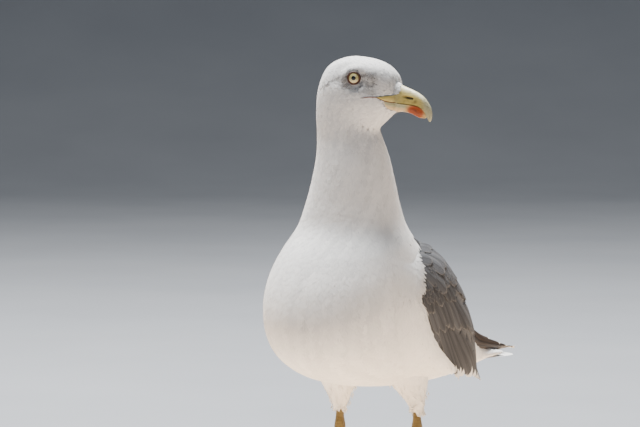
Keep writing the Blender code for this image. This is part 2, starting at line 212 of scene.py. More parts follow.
class Form:
    """A surface kept as a grid of points over two parameters, u and v.

    A point between the grid's points is the bilinear mean of the four round it. The normal is the
    cross product of the two slopes, and a step along the surface is found from those slopes by
    solving the 2 x 2 least squares equations for the change of u and v."""

    def __init__(self, points, u_ends, v_ends, closed, facing=1):
        self.points, self.u_ends, self.v_ends, self.closed = points, u_ends, v_ends, closed
        rows, columns = points.shape[:2]
        self.u_step = (u_ends[1] - u_ends[0]) / (rows - 1)
        self.v_step = (v_ends[1] - v_ends[0]) / (columns if closed else columns - 1)
        self.along_u = np.gradient(points, self.u_step, axis=0)
        if closed:
            ahead, behind = np.roll(points, -1, axis=1), np.roll(points, 1, axis=1)
            self.along_v = (ahead - behind) / (2 * self.v_step)
        else:
            self.along_v = np.gradient(points, self.v_step, axis=1)
        self.normals = facing * unit(np.cross(self.along_v, self.along_u))

    def read(self, grid, u, v):
        rows, columns = grid.shape[:2]
        x = np.clip((u - self.u_ends[0]) / self.u_step, 0, rows - 1.001)
        y = (v - self.v_ends[0]) / self.v_step
        i = x.astype(int)
        if self.closed:
            j = np.floor(y).astype(int)
            s, t = (x - i)[..., None], (y - j)[..., None]
            j, k = j % columns, (j + 1) % columns
        else:
            y = np.clip(y, 0, columns - 1.001)
            j = y.astype(int)
            s, t = (x - i)[..., None], (y - j)[..., None]
            k = j + 1
        near = grid[i, j] * (1 - t) + grid[i, k] * t
        far = grid[i + 1, j] * (1 - t) + grid[i + 1, k] * t
        return near * (1 - s) + far * s

    def up(self, u, v):
        return unit(self.read(self.normals, u, v))

    def ahead(self, u, v):
        return unit(self.read(self.along_u, u, v))

    def at(self, u, v, height=0.0):
        return self.read(self.points, u, v) + self.up(u, v) * np.asarray(height)[..., None]

    def step(self, u, v, move):
        """u and v after a short move in space, kept to the surface."""
        along_u, along_v = self.read(self.along_u, u, v), self.read(self.along_v, u, v)
        uu, vv, uv = (along_u**2).sum(-1), (along_v**2).sum(-1), (along_u * along_v).sum(-1)
        mu, mv = (along_u * move).sum(-1), (along_v * move).sum(-1)
        scale = 1 / np.maximum(uu * vv - uv**2, 1e-20)
        return u + (mu * vv - mv * uv) * scale, v + (mv * uu - mu * uv) * scale


def head_place(points):
    """Forward of the neck's axis, height, and distance out to the head's left."""
    away = points - neck_axis
    return away @ head_ahead, points[..., 2], away @ head_left


def body_points(stations, angles):
    """Points of the body: v = 0 is on the upper outline and v = pi / 2 on the left. Each section
    is a superellipse, out = |sin v|^(2/q) half width, up = |cos v|^(2/q) half height, turned about
    the neck's axis by its share of the head's turn."""
    top_f, top_z, low_f, low_z, half, square, turn = columns_of(BODY, stations)
    power = 2 / square
    out = np.sign(np.sin(angles)) * np.abs(np.sin(angles)) ** power * half
    up = np.sign(np.cos(angles)) * np.abs(np.cos(angles)) ** power
    ahead = (top_f + low_f) / 2 + up * (top_f - low_f) / 2 - NECK_FORWARD
    z = (top_z + low_z) / 2 + up * (top_z - low_z) / 2
    c, s = np.cos(turn * HEAD_TURN), np.sin(turn * HEAD_TURN)
    return xyz(c * out + s * ahead, legs_y - NECK_FORWARD + s * out - c * ahead, z)


body_u = np.linspace(0, len(BODY) - 1, 261)
body_v = around(144)
body = Form(body_points(body_u, body_v), (0, len(BODY) - 1), (0, 2 * math.pi), True)

# The face's relief, all soft hills and hollows along the normal: a brow over each eye, a hollow
# before it, a fuller cheek under it, and a slight groove behind. Round each eye the face lies flat.
ahead, height, _ = head_place(body.points)
relief = (
    0.0012 * bump(ahead, 0.016, 0.012) * bump(height, 0.4335, 0.0040)
    - 0.0016 * bump(ahead, 0.031, 0.0090) * bump(height, 0.4170, 0.0070)
    + 0.0010 * bump(ahead, 0.016, 0.014) * bump(height, 0.4000, 0.0100)
    - 0.0010 * bump(ahead, -0.004, 0.0100) * bump(height, 0.4200, 0.0050)
)
relief *= np.clip((FACE_END - body_u) / 2, 0, 1)[:, None] * np.clip(body_u / 0.8, 0, 1)[:, None]
relief *= np.abs(np.sin(body_v))[None, :] ** 2
moved = body.points + body.normals * relief[..., None]
for name in SIDES:
    away = moved - eye_middle[name]
    out = away @ eye_axis[name]
    aside = np.linalg.norm(away - out[..., None] * eye_axis[name], axis=-1)
    share = np.clip((SOCKET_END - aside) / (SOCKET_END - SOCKET), 0, 1)
    share = share * share * (3 - 2 * share) * (out > 0)
    moved += (share * (EYE_WINDOW - SOCKET_SUNK - out))[..., None] * eye_axis[name]
body = Form(moved, body.u_ends, body.v_ends, True)


# ------------------------------------------------------------------------------ thighs and wings
# The feathered thighs stand out below the belly. The folded wings lie along the trunk's sides:
# each is a smooth shell from the bend of the wing at the breast to the tip past the tail.
# Each ankle's place: sideways, and behind the line between the legs.
ANKLE = {"left": (0.040, 0.0075), "right": (-0.040, -0.0050)}
# Height, forward of the ankle, outward, half width across, half depth.
THIGH = np.array([
    (0.1500, 0.020, -0.006, 0.0240, 0.0340),
    (0.1300, 0.014, -0.005, 0.0220, 0.0280),
    (0.1150, 0.009, -0.004, 0.0175, 0.0200),
    (0.1030, 0.004, -0.0015, 0.0115, 0.0130),
    (0.0910, 0.000, 0.000, 0.0070, 0.0078),  # cuff
])
THIGH_END = 4.8  # station where the form ends, a little below the cuff
# How far behind the legs, then out and up of the upper edge, the widest point and the lower edge.
WING = np.array([
    (-0.086, 0.066, 0.226, 0.0790, 0.206, 0.0755, 0.189),  # bend of the wing
    (-0.070, 0.062, 0.243, 0.0835, 0.205, 0.0790, 0.169),
    (-0.040, 0.054, 0.256, 0.0865, 0.200, 0.0810, 0.149),
    (0.000, 0.040, 0.259, 0.0890, 0.183, 0.0855, 0.132),
    (0.035, 0.027, 0.249, 0.0895, 0.153, 0.0870, 0.1225),
    (0.065, 0.017, 0.235, 0.0810, 0.134, 0.0835, 0.1205),
    (0.095, 0.009, 0.219, 0.0660, 0.135, 0.0665, 0.1230),
    (0.125, 0.005, 0.205, 0.0505, 0.140, 0.0490, 0.1265),
    (0.155, 0.004, 0.187, 0.0370, 0.1400, 0.0355, 0.1285),
    (0.185, 0.003, 0.1620, 0.0285, 0.1375, 0.0265, 0.1285),
    (0.210, 0.003, 0.1485, 0.0265, 0.1345, 0.0240, 0.1272),  # tips of the tertials
    (0.245, 0.003, 0.1388, 0.0235, 0.1300, 0.0212, 0.1250),
    (0.285, 0.003, 0.1298, 0.0172, 0.1256, 0.0150, 0.1225),
    (0.318, 0.004, 0.1224, 0.0110, 0.1210, 0.0098, 0.1196),  # tip of the longest primary
])
WIDEST = 0.6  # share of the way down the wing's outer side at which it is widest


def thigh_form(side_name):
    """Ovals down the thigh: u runs down its stations and v round it."""
    x, behind = ANKLE[side_name]
    side = SIDES[side_name]
    z, ahead, outward, across, deep = columns_of(THIGH, np.linspace(0, THIGH_END, 49))
    a = around(48) * -1
    out = x + side * outward + across * np.cos(a)
    back = legs_y + behind - ahead + deep * np.sin(a)
    return Form(xyz(out, back, z), (0, THIGH_END), (0, 2 * math.pi), True)


def wing_points(sections, down, side):
    """The wing's outer side: a quarter of an ellipse from the upper edge to the widest point, then
    a parabola to the lower edge. Above the upper edge it runs level toward the other wing."""
    y, top_x, top_z, wide_x, wide_z, low_x, low_z = columns_of(WING, sections)
    a = np.clip(down / WIDEST, 0, 1) * math.pi / 2
    t = np.clip((down - WIDEST) / (1 - WIDEST), 0, None)
    level = np.clip(-down / WIDEST, 0, None) * math.pi / 2
    out = top_x + (wide_x - top_x) * (np.sin(a) - level) - (wide_x - low_x) * t**2
    z = wide_z + (top_z - wide_z) * np.cos(a) - (wide_z - low_z) * t
    return xyz(side * out, legs_y + y, z)


def wing_form(side):
    """The wing's outer side, carried a little past its ends and its edges."""
    sections, down = (-0.6, 13.6), (-0.4, 1.3)
    points = wing_points(np.linspace(*sections, 214), np.linspace(*down, 86), side)
    return Form(points, sections, down, False, side)


thighs = {name: thigh_form(name) for name in SIDES}
wings = {name: wing_form(side) for name, side in SIDES.items()}


# ------------------------------------------------------------------------------ the skin
# One skin stands for the flesh of head, neck, trunk, tail, thighs and wings, drawn in by the
# coat's depth. The lofts are run together into one closed surface, so that no seam shows.
COAT_DEPTH = np.array([  # station, depth
    (0, 0.0007), (1, 0.0010), (3, 0.0014), (6, 0.0017), (9, 0.0022), (13, 0.0029), (20, 0.0031),
    (23, 0.0022), (26, 0.0010),
])
TAIL_ROOT = 23.6  # station where the flesh of the tail ends
THIGH_DEPTH, WING_DEPTH = 0.0014, 0.0030
WING_FLESH = 0.0050  # thickness of the wing's core
LID_REACH, THIN_COAT = 0.004, 0.15  # the coat thins over this distance to an eye, to this share
SKIN_VOXEL = 0.0023
SHARP_EDGE = math.radians(55)
RING_REACH = 0.0066  # bare skin round the middle of an eye, along the face


def lofted(points, ring=False):
    """Vertices and faces of a grid of points that closes round its second index. Its first index
    closes too if it is a ring, and otherwise each end is a fan round the end's mean point."""
    rows, columns = points.shape[:2]
    i, j = cells(np.arange(rows if ring else rows - 1), np.arange(columns))
    h, k = (i + 1) % rows, (j + 1) % columns
    quads = (np.stack([i, i, h, h], -1) * columns + np.stack([j, k, k, j], -1)).reshape(-1, 4).tolist()
    if ring:
        return points.reshape(-1, 3), quads
    poles = np.stack([points[0].mean(0), points[-1].mean(0)])
    near = np.arange(columns)
    far = (near + 1) % columns
    last, pole = (rows - 1) * columns, rows * columns
    fans = np.concatenate([
        np.stack([near, 0 * near + pole, far], -1),
        np.stack([last + far, 0 * near + pole + 1, last + near], -1),
    ])
    return np.vstack([points.reshape(-1, 3), poles]), quads + fans.tolist()


def joined(name, shapes):
    """One mesh object of several (vertices, faces) shapes, with the faces turned outward."""
    vertices, faces, start = [], [], 0
    for points, corners in shapes:
        vertices.append(points)
        faces += [[start + k for k in face] for face in corners]
        start += len(points)
    mesh = bpy.data.meshes.new(name)
    mesh.from_pydata(np.vstack(vertices).tolist(), [], faces)
    turned = bmesh.new()
    turned.from_mesh(mesh)
    bmesh.ops.recalc_face_normals(turned, faces=turned.faces)
    turned.to_mesh(mesh)
    turned.free()
    mesh.shade_smooth()
    mesh.set_sharp_from_angle(angle=SHARP_EDGE)
    return linked(name, mesh)


def wing_flesh(form):
    """The wing's core: its outer side drawn in by the feathers' depth, and the same again deeper."""
    u, v = cells(np.linspace(0.4, 9.5, 60), np.linspace(0.06, 0.9, 24))
    outer = form.at(u, v, -WING_DEPTH)
    inner = form.at(u, v, -WING_DEPTH - WING_FLESH)
    return np.concatenate([outer, inner[:, ::-1]], axis=1)


stations, angles = cells(np.linspace(0, TAIL_ROOT, 190), body_v)
surface = body.at(stations, angles)
nearest_eye = np.minimum(*(np.linalg.norm(surface - middle, axis=-1) for middle in eye_middle.values()))
round_eye = np.clip((nearest_eye - eye_radius) / LID_REACH, THIN_COAT, 1)
flesh = [lofted(body.at(stations, angles, -read_off(COAT_DEPTH, stations) * round_eye))]
for name in SIDES:
    flesh.append(lofted(thighs[name].at(*cells(np.linspace(0, 4, 24), around(32)), -THIGH_DEPTH)))
    flesh.append(lofted(wing_flesh(wings[name])))
skin = joined("skin", flesh)
remesh = skin.modifiers.new("one surface", "REMESH")
remesh.mode = "VOXEL"
remesh.voxel_size = SKIN_VOXEL
even = skin.modifiers.new("even", "SMOOTH")
even.factor, even.iterations = 0.5, 3
whole = bpy.data.meshes.new_from_object(skin.evaluated_get(bpy.context.evaluated_depsgraph_get()))
skin.modifiers.clear()
skin.data = whole
skin.data.shade_smooth()


# ------------------------------------------------------------------------------ white plumage
# A feather is a thin vane of barbs either side of a shaft. The barbs show as fine streaks, and on
# white body feathers they part here and there, so that the coat looks silky; where they part the
# colour is darkened as painted shade in the gaps.
WHITE, WHITE_SHADE = (0.84, 0.835, 0.82), (0.56, 0.56, 0.565)
STREAK_AND_SHADE_GREY = (0.16, 0.155, 0.155)


class Nodes:
    """A material's or a group's node tree. A call adds one node and wires or sets its inputs."""

    def __init__(self, tree):
        self.tree = tree

    def __call__(self, kind, inputs=None, **settings):
        node = self.tree.nodes.new(kind if kind.startswith("NodeGroup") else "ShaderNode" + kind)
        for name, value in settings.items():
            setattr(node, name, value)
        for name, value in (inputs or {}).items():
            self.feed(node.inputs[name], value)
        return node

    def feed(self, socket, value):
        if isinstance(value, bpy.types.NodeSocket):
            self.tree.links.new(value, socket)
        elif isinstance(value, tuple) and socket.type == "RGBA":
            socket.default_value = (*value, 1)
        else:
            socket.default_value = value

    def math(self, operation, *values):
        return self("Math", dict(enumerate(values)), operation=operation).outputs[0]

    def plus(self, first, second):
        return self.math("ADD", first, second)

    def minus(self, first, second):
        return self.math("SUBTRACT", first, second)

    def times(self, first, second):
        return self.math("MULTIPLY", first, second)

    def number(self, name):
        """A value that the mesh carries for each point."""
        return self("Attribute", attribute_name=name).outputs["Fac"]

    def vector(self, name):
        """Three values that the mesh carries for each point."""
        return self("Attribute", attribute_name=name).outputs["Vector"]

    def place(self):
        return self("TexCoord").outputs["Object"]

    def noise(self, vector, scale, detail, roughness=0.5):
        values = {"Vector": vector, "Scale": scale, "Detail": detail, "Roughness": roughness}
        return self("TexNoise", values).outputs[0]

    def blend(self, factor, first, second):
        node = self("Mix", {0: factor}, data_type="RGBA")
        self.feed(node.inputs[6], first)
        self.feed(node.inputs[7], second)
        return node.outputs[2]

    def multiplied(self, factor, first, second):
        """The first colour times the second, by as much as the factor says."""
        node = self("Mix", {0: factor, 7: second}, data_type="RGBA", blend_type="MULTIPLY")
        self.feed(node.inputs[6], first)
        return node.outputs[2]

    def ramp(self, value, low, high):
        """0 up to low, 1 from high, smooth between."""
        node = self("MapRange", {0: value, 1: low, 2: high}, interpolation_type="SMOOTHSTEP")
        return node.outputs[0]

    def between(self, value, low, high):
        """Low where the value is 0 and high where it is 1."""
        return self("MapRange", {0: value, 3: low, 4: high}).outputs[0]

    def grouped(self, tree, **values):
        node = self("Group", node_tree=tree)
        for name, value in values.items():
            self.feed(node.inputs[name], value)
        return node.outputs


def new_group(name, takes, gives):
    """An empty group: its nodes, its inputs' sockets and its outputs' node."""
    tree = bpy.data.node_groups.new(name, "ShaderNodeTree")
    for socket, value in takes.items():
        made = tree.interface.new_socket(socket, in_out="INPUT", socket_type="NodeSocketFloat")
        made.default_value = value
    for socket in gives:
        tree.interface.new_socket(socket, in_out="OUTPUT", socket_type="NodeSocketFloat")
    nodes = Nodes(tree)
    return tree, nodes, nodes("NodeGroupInput").outputs, nodes("NodeGroupOutput").inputs


def finish(name, roughness, **values):
    """A material with a Principled shader: the material, its nodes and the shader."""
    material = bpy.data.materials.new(name)
    material.use_nodes = True
    shader = material.node_tree.nodes["Principled BSDF"]
    shader.inputs["Roughness"].default_value = roughness
    for socket, value in values.items():
        shader.inputs[socket.replace("_", " ")].default_value = value
    return material, Nodes(material.node_tree), shader


def coloured(nodes, shader, colour, height, strength, distance):
    """Feeds a shader its colour, and the fine relief that a height gives."""
    nodes.feed(shader.inputs["Base Color"], colour)
    relief = nodes("Bump", {"Height": height, "Strength": strength, "Distance": distance})
    nodes.feed(shader.inputs["Normal"], relief.outputs[0])


# Barbs: streaks that leave the shaft at a slant. across runs 0 to 1 over the vane and along 0 to 1
# down it. Streak is noise over (|across - 1/2| - along slant), different on each feather, and
# Parting is the same noise drawn out, where the barbs come apart; the finishes darken the colour
# there as painted shade in the gap.
barbs, nodes, takes, gives = new_group(
    "barbs", {"Fineness": 18.0, "Slant": 0.5, "Partings": 0.5}, ("Streak", "Parting", "Across", "Along")
)
vane = nodes("SeparateXYZ", {0: nodes("UVMap", uv_map="vane").outputs[0]}).outputs
off_shaft = nodes.math("ABSOLUTE", nodes.minus(vane[0], 0.5))
slanted = nodes.minus(off_shaft, nodes.times(vane[1], takes["Slant"]))
place = nodes("CombineXYZ", {
    0: nodes.times(slanted, takes["Fineness"]),
    1: nodes.times(vane[1], 1.4),
    2: nodes.times(nodes.number("seed"), 97.0),
}).outputs[0]
nodes.feed(gives["Streak"], nodes.ramp(nodes.noise(place, 1.0, 3.0, 0.7), 0.25, 0.75))
parting = nodes.ramp(nodes.noise(place, 0.23, 1.0), 0.56, 0.72)
nodes.feed(gives["Parting"], nodes.times(parting, takes["Partings"]))
nodes.feed(gives["Across"], nodes.times(off_shaft, 2.0))
nodes.feed(gives["Along"], vane[1])

white_plumage, nodes, shader = finish("white plumage", 0.82, Sheen_Weight=0.25, Sheen_Roughness=0.5)
barb = nodes.grouped(barbs, Fineness=22.0, Slant=0.18, Partings=0.8)
# Partings darken the white toward its darker tint: painted shade in the gaps between barbs.
dip = nodes.plus(nodes.times(barb["Streak"], 0.35), nodes.times(barb["Parting"], 0.4))
colour = nodes.blend(nodes.plus(dip, nodes.number("tone")), WHITE, WHITE_SHADE)
# The mark lays on the head's grey streaks, and with them painted shade over the lores and under the eyes.
streak_and_shade_share = nodes.times(nodes.number("mark"), nodes.plus(barb["Streak"], 0.35))
coloured(nodes, shader, nodes.blend(streak_and_shade_share, colour, STREAK_AND_SHADE_GREY), barb["Streak"], 0.35, 0.00025)


# ------------------------------------------------------------------------------ laying feathers
# Contour feathers are rooted evenly over the skin, point toward the tail, and overlap like tiles:
# only the end of each shows, a fraction of a millimetre above the next.
PATCH = 0.003  # size of a feather's patch in the map that holds its colours
GOLDEN = (0.7548776662, 0.5698402910)  # steps that spread points evenly over a square
SHAKE = 0.22  # how far a root strays from its even place, in spacings
FRAY_LIMIT = 0.85  # how much of the last row's spacing a frayed end may give up
LIFT_LIMIT = 1.3  # how many times its usual lift a feather's end may rise or sink
SHARP_RIM = math.radians(60)
SLEEK = {"thick": 0.00012, "camber": 0.00002, "lift": 0.00004}  # feathers that lie close and flat
WISP = {"columns": 5, "thick": 0.00014, "camber": 0.0}  # narrow loose feathers


def everywhere(u, v, places):
    return np.ones(np.broadcast(u, v).shape)


def scattered(form, u_ends, v_ends, spacing, keep, rng):
    """Roots spread over part of a form, where keep is 1, at a spacing that is one number or a
    function of u. A two-dimensional golden-ratio sequence is bent by the running sums of
    (area / spacing^2), first along u and then along v, and shaken a little."""
    def gap_at(u):
        return spacing(u) if callable(spacing) else spacing + 0 * u

    u, v = cells(np.linspace(*u_ends, 300), np.linspace(*v_ends, 240))
    area = np.linalg.norm(np.cross(form.read(form.along_u, u, v), form.read(form.along_v, u, v)), axis=-1)
    area *= (u[1, 0] - u[0, 0]) * (v[0, 1] - v[0, 0])
    weight = area * keep(u, v, form.at(u, v)) / gap_at(u) ** 2
    count = int(weight.sum())
    first, second = (0.5 + np.arange(1, count + 1)[:, None] * GOLDEN).T % 1
    by_row = np.cumsum(weight.sum(1))
    row_at = np.interp(first, by_row / by_row[-1], np.arange(len(by_row)))
    by_column = np.cumsum(weight, axis=1) + 1e-12 * np.arange(1, weight.shape[1] + 1)
    by_column = by_column[np.clip(row_at.round().astype(int), 0, len(u) - 1)]
    reached = by_column / by_column[:, -1:] < second[:, None]
    column = np.clip(reached.sum(1), 0, v.shape[1] - 1)
    got_u = np.interp(row_at, np.arange(len(u)), u[:, 0])
    got_v = v[0, column] + rng.uniform(-0.5, 0.5, count) * (v[0, 1] - v[0, 0])
    shake = rng.normal(0, SHAKE, (count, 3)) * gap_at(got_u)[:, None]
    got_u, got_v = form.step(got_u, got_v, shake)
    got_u = np.clip(got_u, *u_ends)
    kept = keep(got_u, got_v, form.at(got_u, got_v)) > 0.5
    return got_u[kept], got_v[kept]


def swung(direction, normal, angle):
    """The directions turned about the normals by these angles."""
    angle = np.asarray(angle)[..., None]
    return direction * np.cos(angle) + np.cross(normal, direction) * np.sin(angle)


def along_surface(direction, normal):
    """The directions without their part along the normals, at unit length."""
    return unit(direction - normal * (direction * normal).sum(-1, keepdims=True))


def vanes(
    form, u, v, lie, length, width, depth, rng, rows=5, columns=7, thick=0.00022, camber=0.00025,
    lift=0.00012, root=0.35, widest=0.6, tip=0.55, blunt=0.16, fray=0.09, tone=None, mark=0.0, base=0.0,
    shaft=0.0, follow=False,
):
    """Closed thin vanes, rooted at u, v on a form and pointing along lie.

    The shaft runs over the form from row to row, straight on or following the form's u. At share s
    of the length and t (-1 to 1) of the half width, a vane's point is t times the half width aside
    and blunt |t|^2.2 s^2 of the length short. Its height over the form is
    base - depth (1 - s)^2 - camber t^2, with a random lift that grows with s^2 and a ridge of
    height shaft (1 - s) along the middle. The half width swells from root to 1 at widest and
    shrinks to tip. Every second column falls short at the end by up to fray of the length. A keel
    under the shaft closes it."""
    n = len(u)
    length, width, depth, base = (np.broadcast_to(x, n).astype(float) for x in (length, width, depth, base))
    s = np.linspace(0, 1, rows) ** 0.9
    t = np.linspace(-1, 1, columns)
    swell = np.where(
        s < widest,
        root + (1 - root) * np.sin(np.clip(s / widest, 0, 1) * math.pi / 2),
        tip + (1 - tip) * np.sqrt(np.clip(1 - ((s - widest) / (1 - widest)) ** 2, 0, 1)),
    )
    rise = np.clip(rng.normal(0, 1, n), -LIFT_LIMIT, LIFT_LIMIT) * lift
    short = blunt * np.abs(t) ** 2.2 * s[:, None] ** 2 + np.zeros((n, rows, columns))
    notch = (np.arange(columns) % 2) * rng.uniform(0.2, 1, (n, columns)) * fray
    short[:, -1] += notch + rng.uniform(0, 0.3, (n, columns)) * fray
    short[:, -1] = np.minimum(short[:, -1], short[:, -2] + FRAY_LIMIT * (s[-1] - s[-2]))
    points = np.empty((n, rows, columns, 3))
    keel = np.empty((n, rows, 3))
    at_u, at_v, direction = u.copy(), v.copy(), lie.copy()
    for row in range(rows):
        if row:
            ahead = length * (s[row] - s[row - 1])
            at_u, at_v = form.step(at_u, at_v, direction * ahead[:, None])
        normal = form.up(at_u, at_v)
        if follow:
            direction = form.ahead(at_u, at_v)
        direction = along_surface(direction, normal)
        aside = np.cross(normal, direction)
        across = 0.5 * width[:, None] * swell[row] * t
        along = -length[:, None] * short[:, row]
        move = aside[:, None] * across[..., None] + direction[:, None] * along[..., None]
        near_u, near_v = form.step(at_u[:, None], at_v[:, None], move)
        height = base - depth * (1 - s[row]) ** 2 + rise * s[row] ** 2
        ridge = shaft * (1 - s[row]) * (np.abs(t) < 0.1)
        points[:, row] = form.at(near_u, near_v, height[:, None] - camber * t**2 + ridge)
        keel[:, row] = form.at(at_u, at_v, height - thick)
    inner = np.arange(rows * columns).reshape(rows, columns)
    under = rows * columns + np.arange(rows)
    quads = np.concatenate([
        np.stack([inner[:-1, :-1], inner[1:, :-1], inner[1:, 1:], inner[:-1, 1:]], -1).reshape(-1, 4),
        np.stack([inner[:-1, 0], under[:-1], under[1:], inner[1:, 0]], -1),
        np.stack([under[:-1], inner[:-1, -1], inner[1:, -1], under[1:]], -1),
    ])
    end, start = np.full(columns - 1, under[-1]), np.full(columns - 1, under[0])
    corners = np.concatenate([
        np.stack([inner[-1, :-1], end, inner[-1, 1:]], -1),
        np.stack([inner[0, 1:], start, inner[0, :-1]], -1),
    ])
    local = np.stack(np.broadcast_arrays((t + 1) / 2, s[:, None]), -1).reshape(-1, 2)
    local = np.vstack([local, np.stack([0 * s + 0.5, s], -1)])
    spot = np.stack([
        (v - form.v_ends[0]) / (form.v_ends[1] - form.v_ends[0]) % 1,
        (u - form.u_ends[0]) / (form.u_ends[1] - form.u_ends[0]),
    ], -1)
    per = len(local)
    tone = rng.normal(0.0, 0.05, n) if tone is None else tone
    return {
        "points": np.concatenate([points.reshape(n, -1, 3), keel], 1).reshape(-1, 3),
        "quads": (quads[None] + per * np.arange(n)[:, None, None]).reshape(-1, 4),
        "corners": (corners[None] + per * np.arange(n)[:, None, None]).reshape(-1, 3),
        "vane": np.tile(local, (n, 1)),
        "OFBake": (spot[:, None] + PATCH * (local - 0.5)).reshape(-1, 2),
        "seed": np.repeat(rng.uniform(0, 1, n), per),
        "tone": np.repeat(np.broadcast_to(tone, n), per),
        "mark": np.repeat(np.broadcast_to(mark, n), per),
    }


def coat(name, lots, material, slot, *stands_for):
    """One mesh piece of several lots of vanes, smooth along each vane and sharp at its rim."""
    starts = np.cumsum([0] + [len(lot["points"]) for lot in lots])
    points = np.concatenate([lot["points"] for lot in lots])
    quads = np.concatenate([lot["quads"] + start for lot, start in zip(lots, starts)])
    corners = np.concatenate([lot["corners"] + start for lot, start in zip(lots, starts)])
    loops = np.concatenate([quads.ravel(), corners.ravel()])
    first = np.concatenate([4 * np.arange(len(quads)), 4 * len(quads) + 3 * np.arange(len(corners))])
    mesh = bpy.data.meshes.new(name)
    mesh.vertices.add(len(points))
    mesh.vertices.foreach_set("co", points.astype(np.float32).ravel())
    mesh.loops.add(len(loops))
    mesh.loops.foreach_set("vertex_index", loops.astype(np.int32))
    mesh.polygons.add(len(first))
    mesh.polygons.foreach_set("loop_start", first.astype(np.int32))
    for layer in ("OFBake", "vane"):
        uv = np.concatenate([lot[layer] for lot in lots])[loops]
        mesh.uv_layers.new(name=layer).data.foreach_set("uv", uv.astype(np.float32).ravel())
    for layer in ("seed", "tone", "mark"):
        values = np.concatenate([lot[layer] for lot in lots])
        mesh.attributes.new(layer, "FLOAT", "POINT").data.foreach_set("value", values.astype(np.float32))
    mesh.update(calc_edges=True)
    mesh.materials.append(material)
    mesh.shade_smooth()
    mesh.set_sharp_from_angle(angle=SHARP_RIM)
    made = linked(name, mesh)
    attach(made, "root")
    if stands_for:
        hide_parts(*stands_for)


def tailward(form, u, v, rng, stray):
    """The lie of the coat along a form's u, each feather straying by about this angle."""
    return swung(form.ahead(u, v), form.up(u, v), rng.normal(0, stray, len(u)))


def sloping(form, u, v, slope):
    """Directions that run backward over a form and down at this slope."""
    return along_surface(xyz(0.0, np.cos(slope), -np.sin(slope)), form.up(u, v))


# ------------------------------------------------------------------------------ head and neck
# The smallest feathers cover the face, and they grow longer down the neck. They part round the
# eye and start at the bill's edge. Fine grey streaks mark the brow and the line behind the eye, and
# grey painted shade lies over the hollow of the lores and along a line under the eye.
HEAD_END, NECK_END = 8.3, 13.0  # stations
MANTLE_START, MANTLE_HALF = 12.0, 1.50  # the grey back: the station where it starts, its reach in v
MANTLE_LAP = 0.1  # how far in v the white feathers run in under its sides
# The bare corner of the mouth, in forward of the neck's axis and height: the line where the halves
# of the bill meet runs back under the eye, with a bare strip above it and a shorter one below.
GAPE = np.array([
    (0.0225, 0.4033), (0.0310, 0.4045), (0.0380, 0.4043),
    (0.0440, 0.4009), (0.0485, 0.3996), (0.0530, 0.3989),
])
STRIP_TOP = np.array([
    (0.0385, 0.4046), (0.0425, 0.4052), (0.0465, 0.4057), (0.0502, 0.4061), (0.0530, 0.4066),
])
STRIP_LOW = np.array([
    (0.0438, 0.4009), (0.0446, 0.3955), (0.0462, 0.3928), (0.0495, 0.3916), (0.0530, 0.3902),
])
LINE_WIDTH = 0.0005  # no feather grows this near the line
# The grey line behind the eye and the crescent under it, in the same two measures.
REAR_LINE = np.array([
    (-0.0239, 0.4169), (-0.0155, 0.4185), (-0.0082, 0.4204), (-0.0013, 0.4227), (0.0066, 0.4251),
])
CRESCENT = np.array([(0.000, 0.4200), (0.005, 0.4176), (0.010, 0.4141), (0.017, 0.4124), (0.025, 0.4143)])
EYE_ROOM = 0.03  # only feathers this near an eye are cut to clear it
SHORTEST = 0.0009  # a feather of the face cut below this length is left out


def mottled(u, v, along, across, rng):
    """Smooth noise between -1 and 1 whose cells are this long along the coat and this wide across
    it, in steps of u and of v: a grid of random values read bilinearly with eased shares."""
    grid = rng.uniform(-1, 1, (97, 89))
    rows, columns = grid.shape
    x, y = u / along, v / across
    i, j = np.floor(x).astype(int), np.floor(y).astype(int)
    s, t = smooth(x - i, 0, 1), smooth(y - j, 0, 1)
    near = grid[i % rows, j % columns] * (1 - t) + grid[i % rows, (j + 1) % columns] * t
    far = grid[(i + 1) % rows, j % columns] * (1 - t) + grid[(i + 1) % rows, (j + 1) % columns] * t
    return near * (1 - s) + far * s


def eye_distance(places):
    windows = [eye_middle[name] + eye_axis[name] * EYE_WINDOW for name in SIDES]
    return np.minimum(*(np.linalg.norm(places - window, axis=-1) for window in windows))


def clear_of_eyes(places, lie, length):
    """Lengths cut so that no feather that points at an eye reaches the bare ring round it."""
    length = np.broadcast_to(length, len(places)).copy()
    for name in SIDES:
        away = eye_middle[name] + eye_axis[name] * EYE_WINDOW - places
        ahead = (away * lie).sum(-1)
        aside = np.linalg.norm(away - ahead[:, None] * lie, axis=-1)
        room = ahead - np.sqrt(np.clip(RING_REACH**2 - aside**2, 0, None))
        facing = (ahead > 0) & (aside < RING_REACH) & (np.linalg.norm(away, axis=-1) < EYE_ROOM)
        length[facing] = np.minimum(length[facing], room[facing])
    return length


def bare_strip(places):
    """1 on the bare strips at the corner of the mouth and along the line between them."""
    ahead, height, _ = head_place(places)
    line, top, low = (read_off(table, ahead) for table in (GAPE, STRIP_TOP, STRIP_LOW))
    above = (ahead > STRIP_TOP[0, 0]) & (height > line) & (height < top)
    below = (ahead > STRIP_LOW[0, 0]) & (height <= line) & (height > low)
    near = (ahead > GAPE[0, 0]) & (np.abs(height - line) < LINE_WIDTH)
    return (above | below | near).astype(float)


def face_keep(u, v, places):
    return (1 - bare_strip(places)) * (eye_distance(places) > RING_REACH)


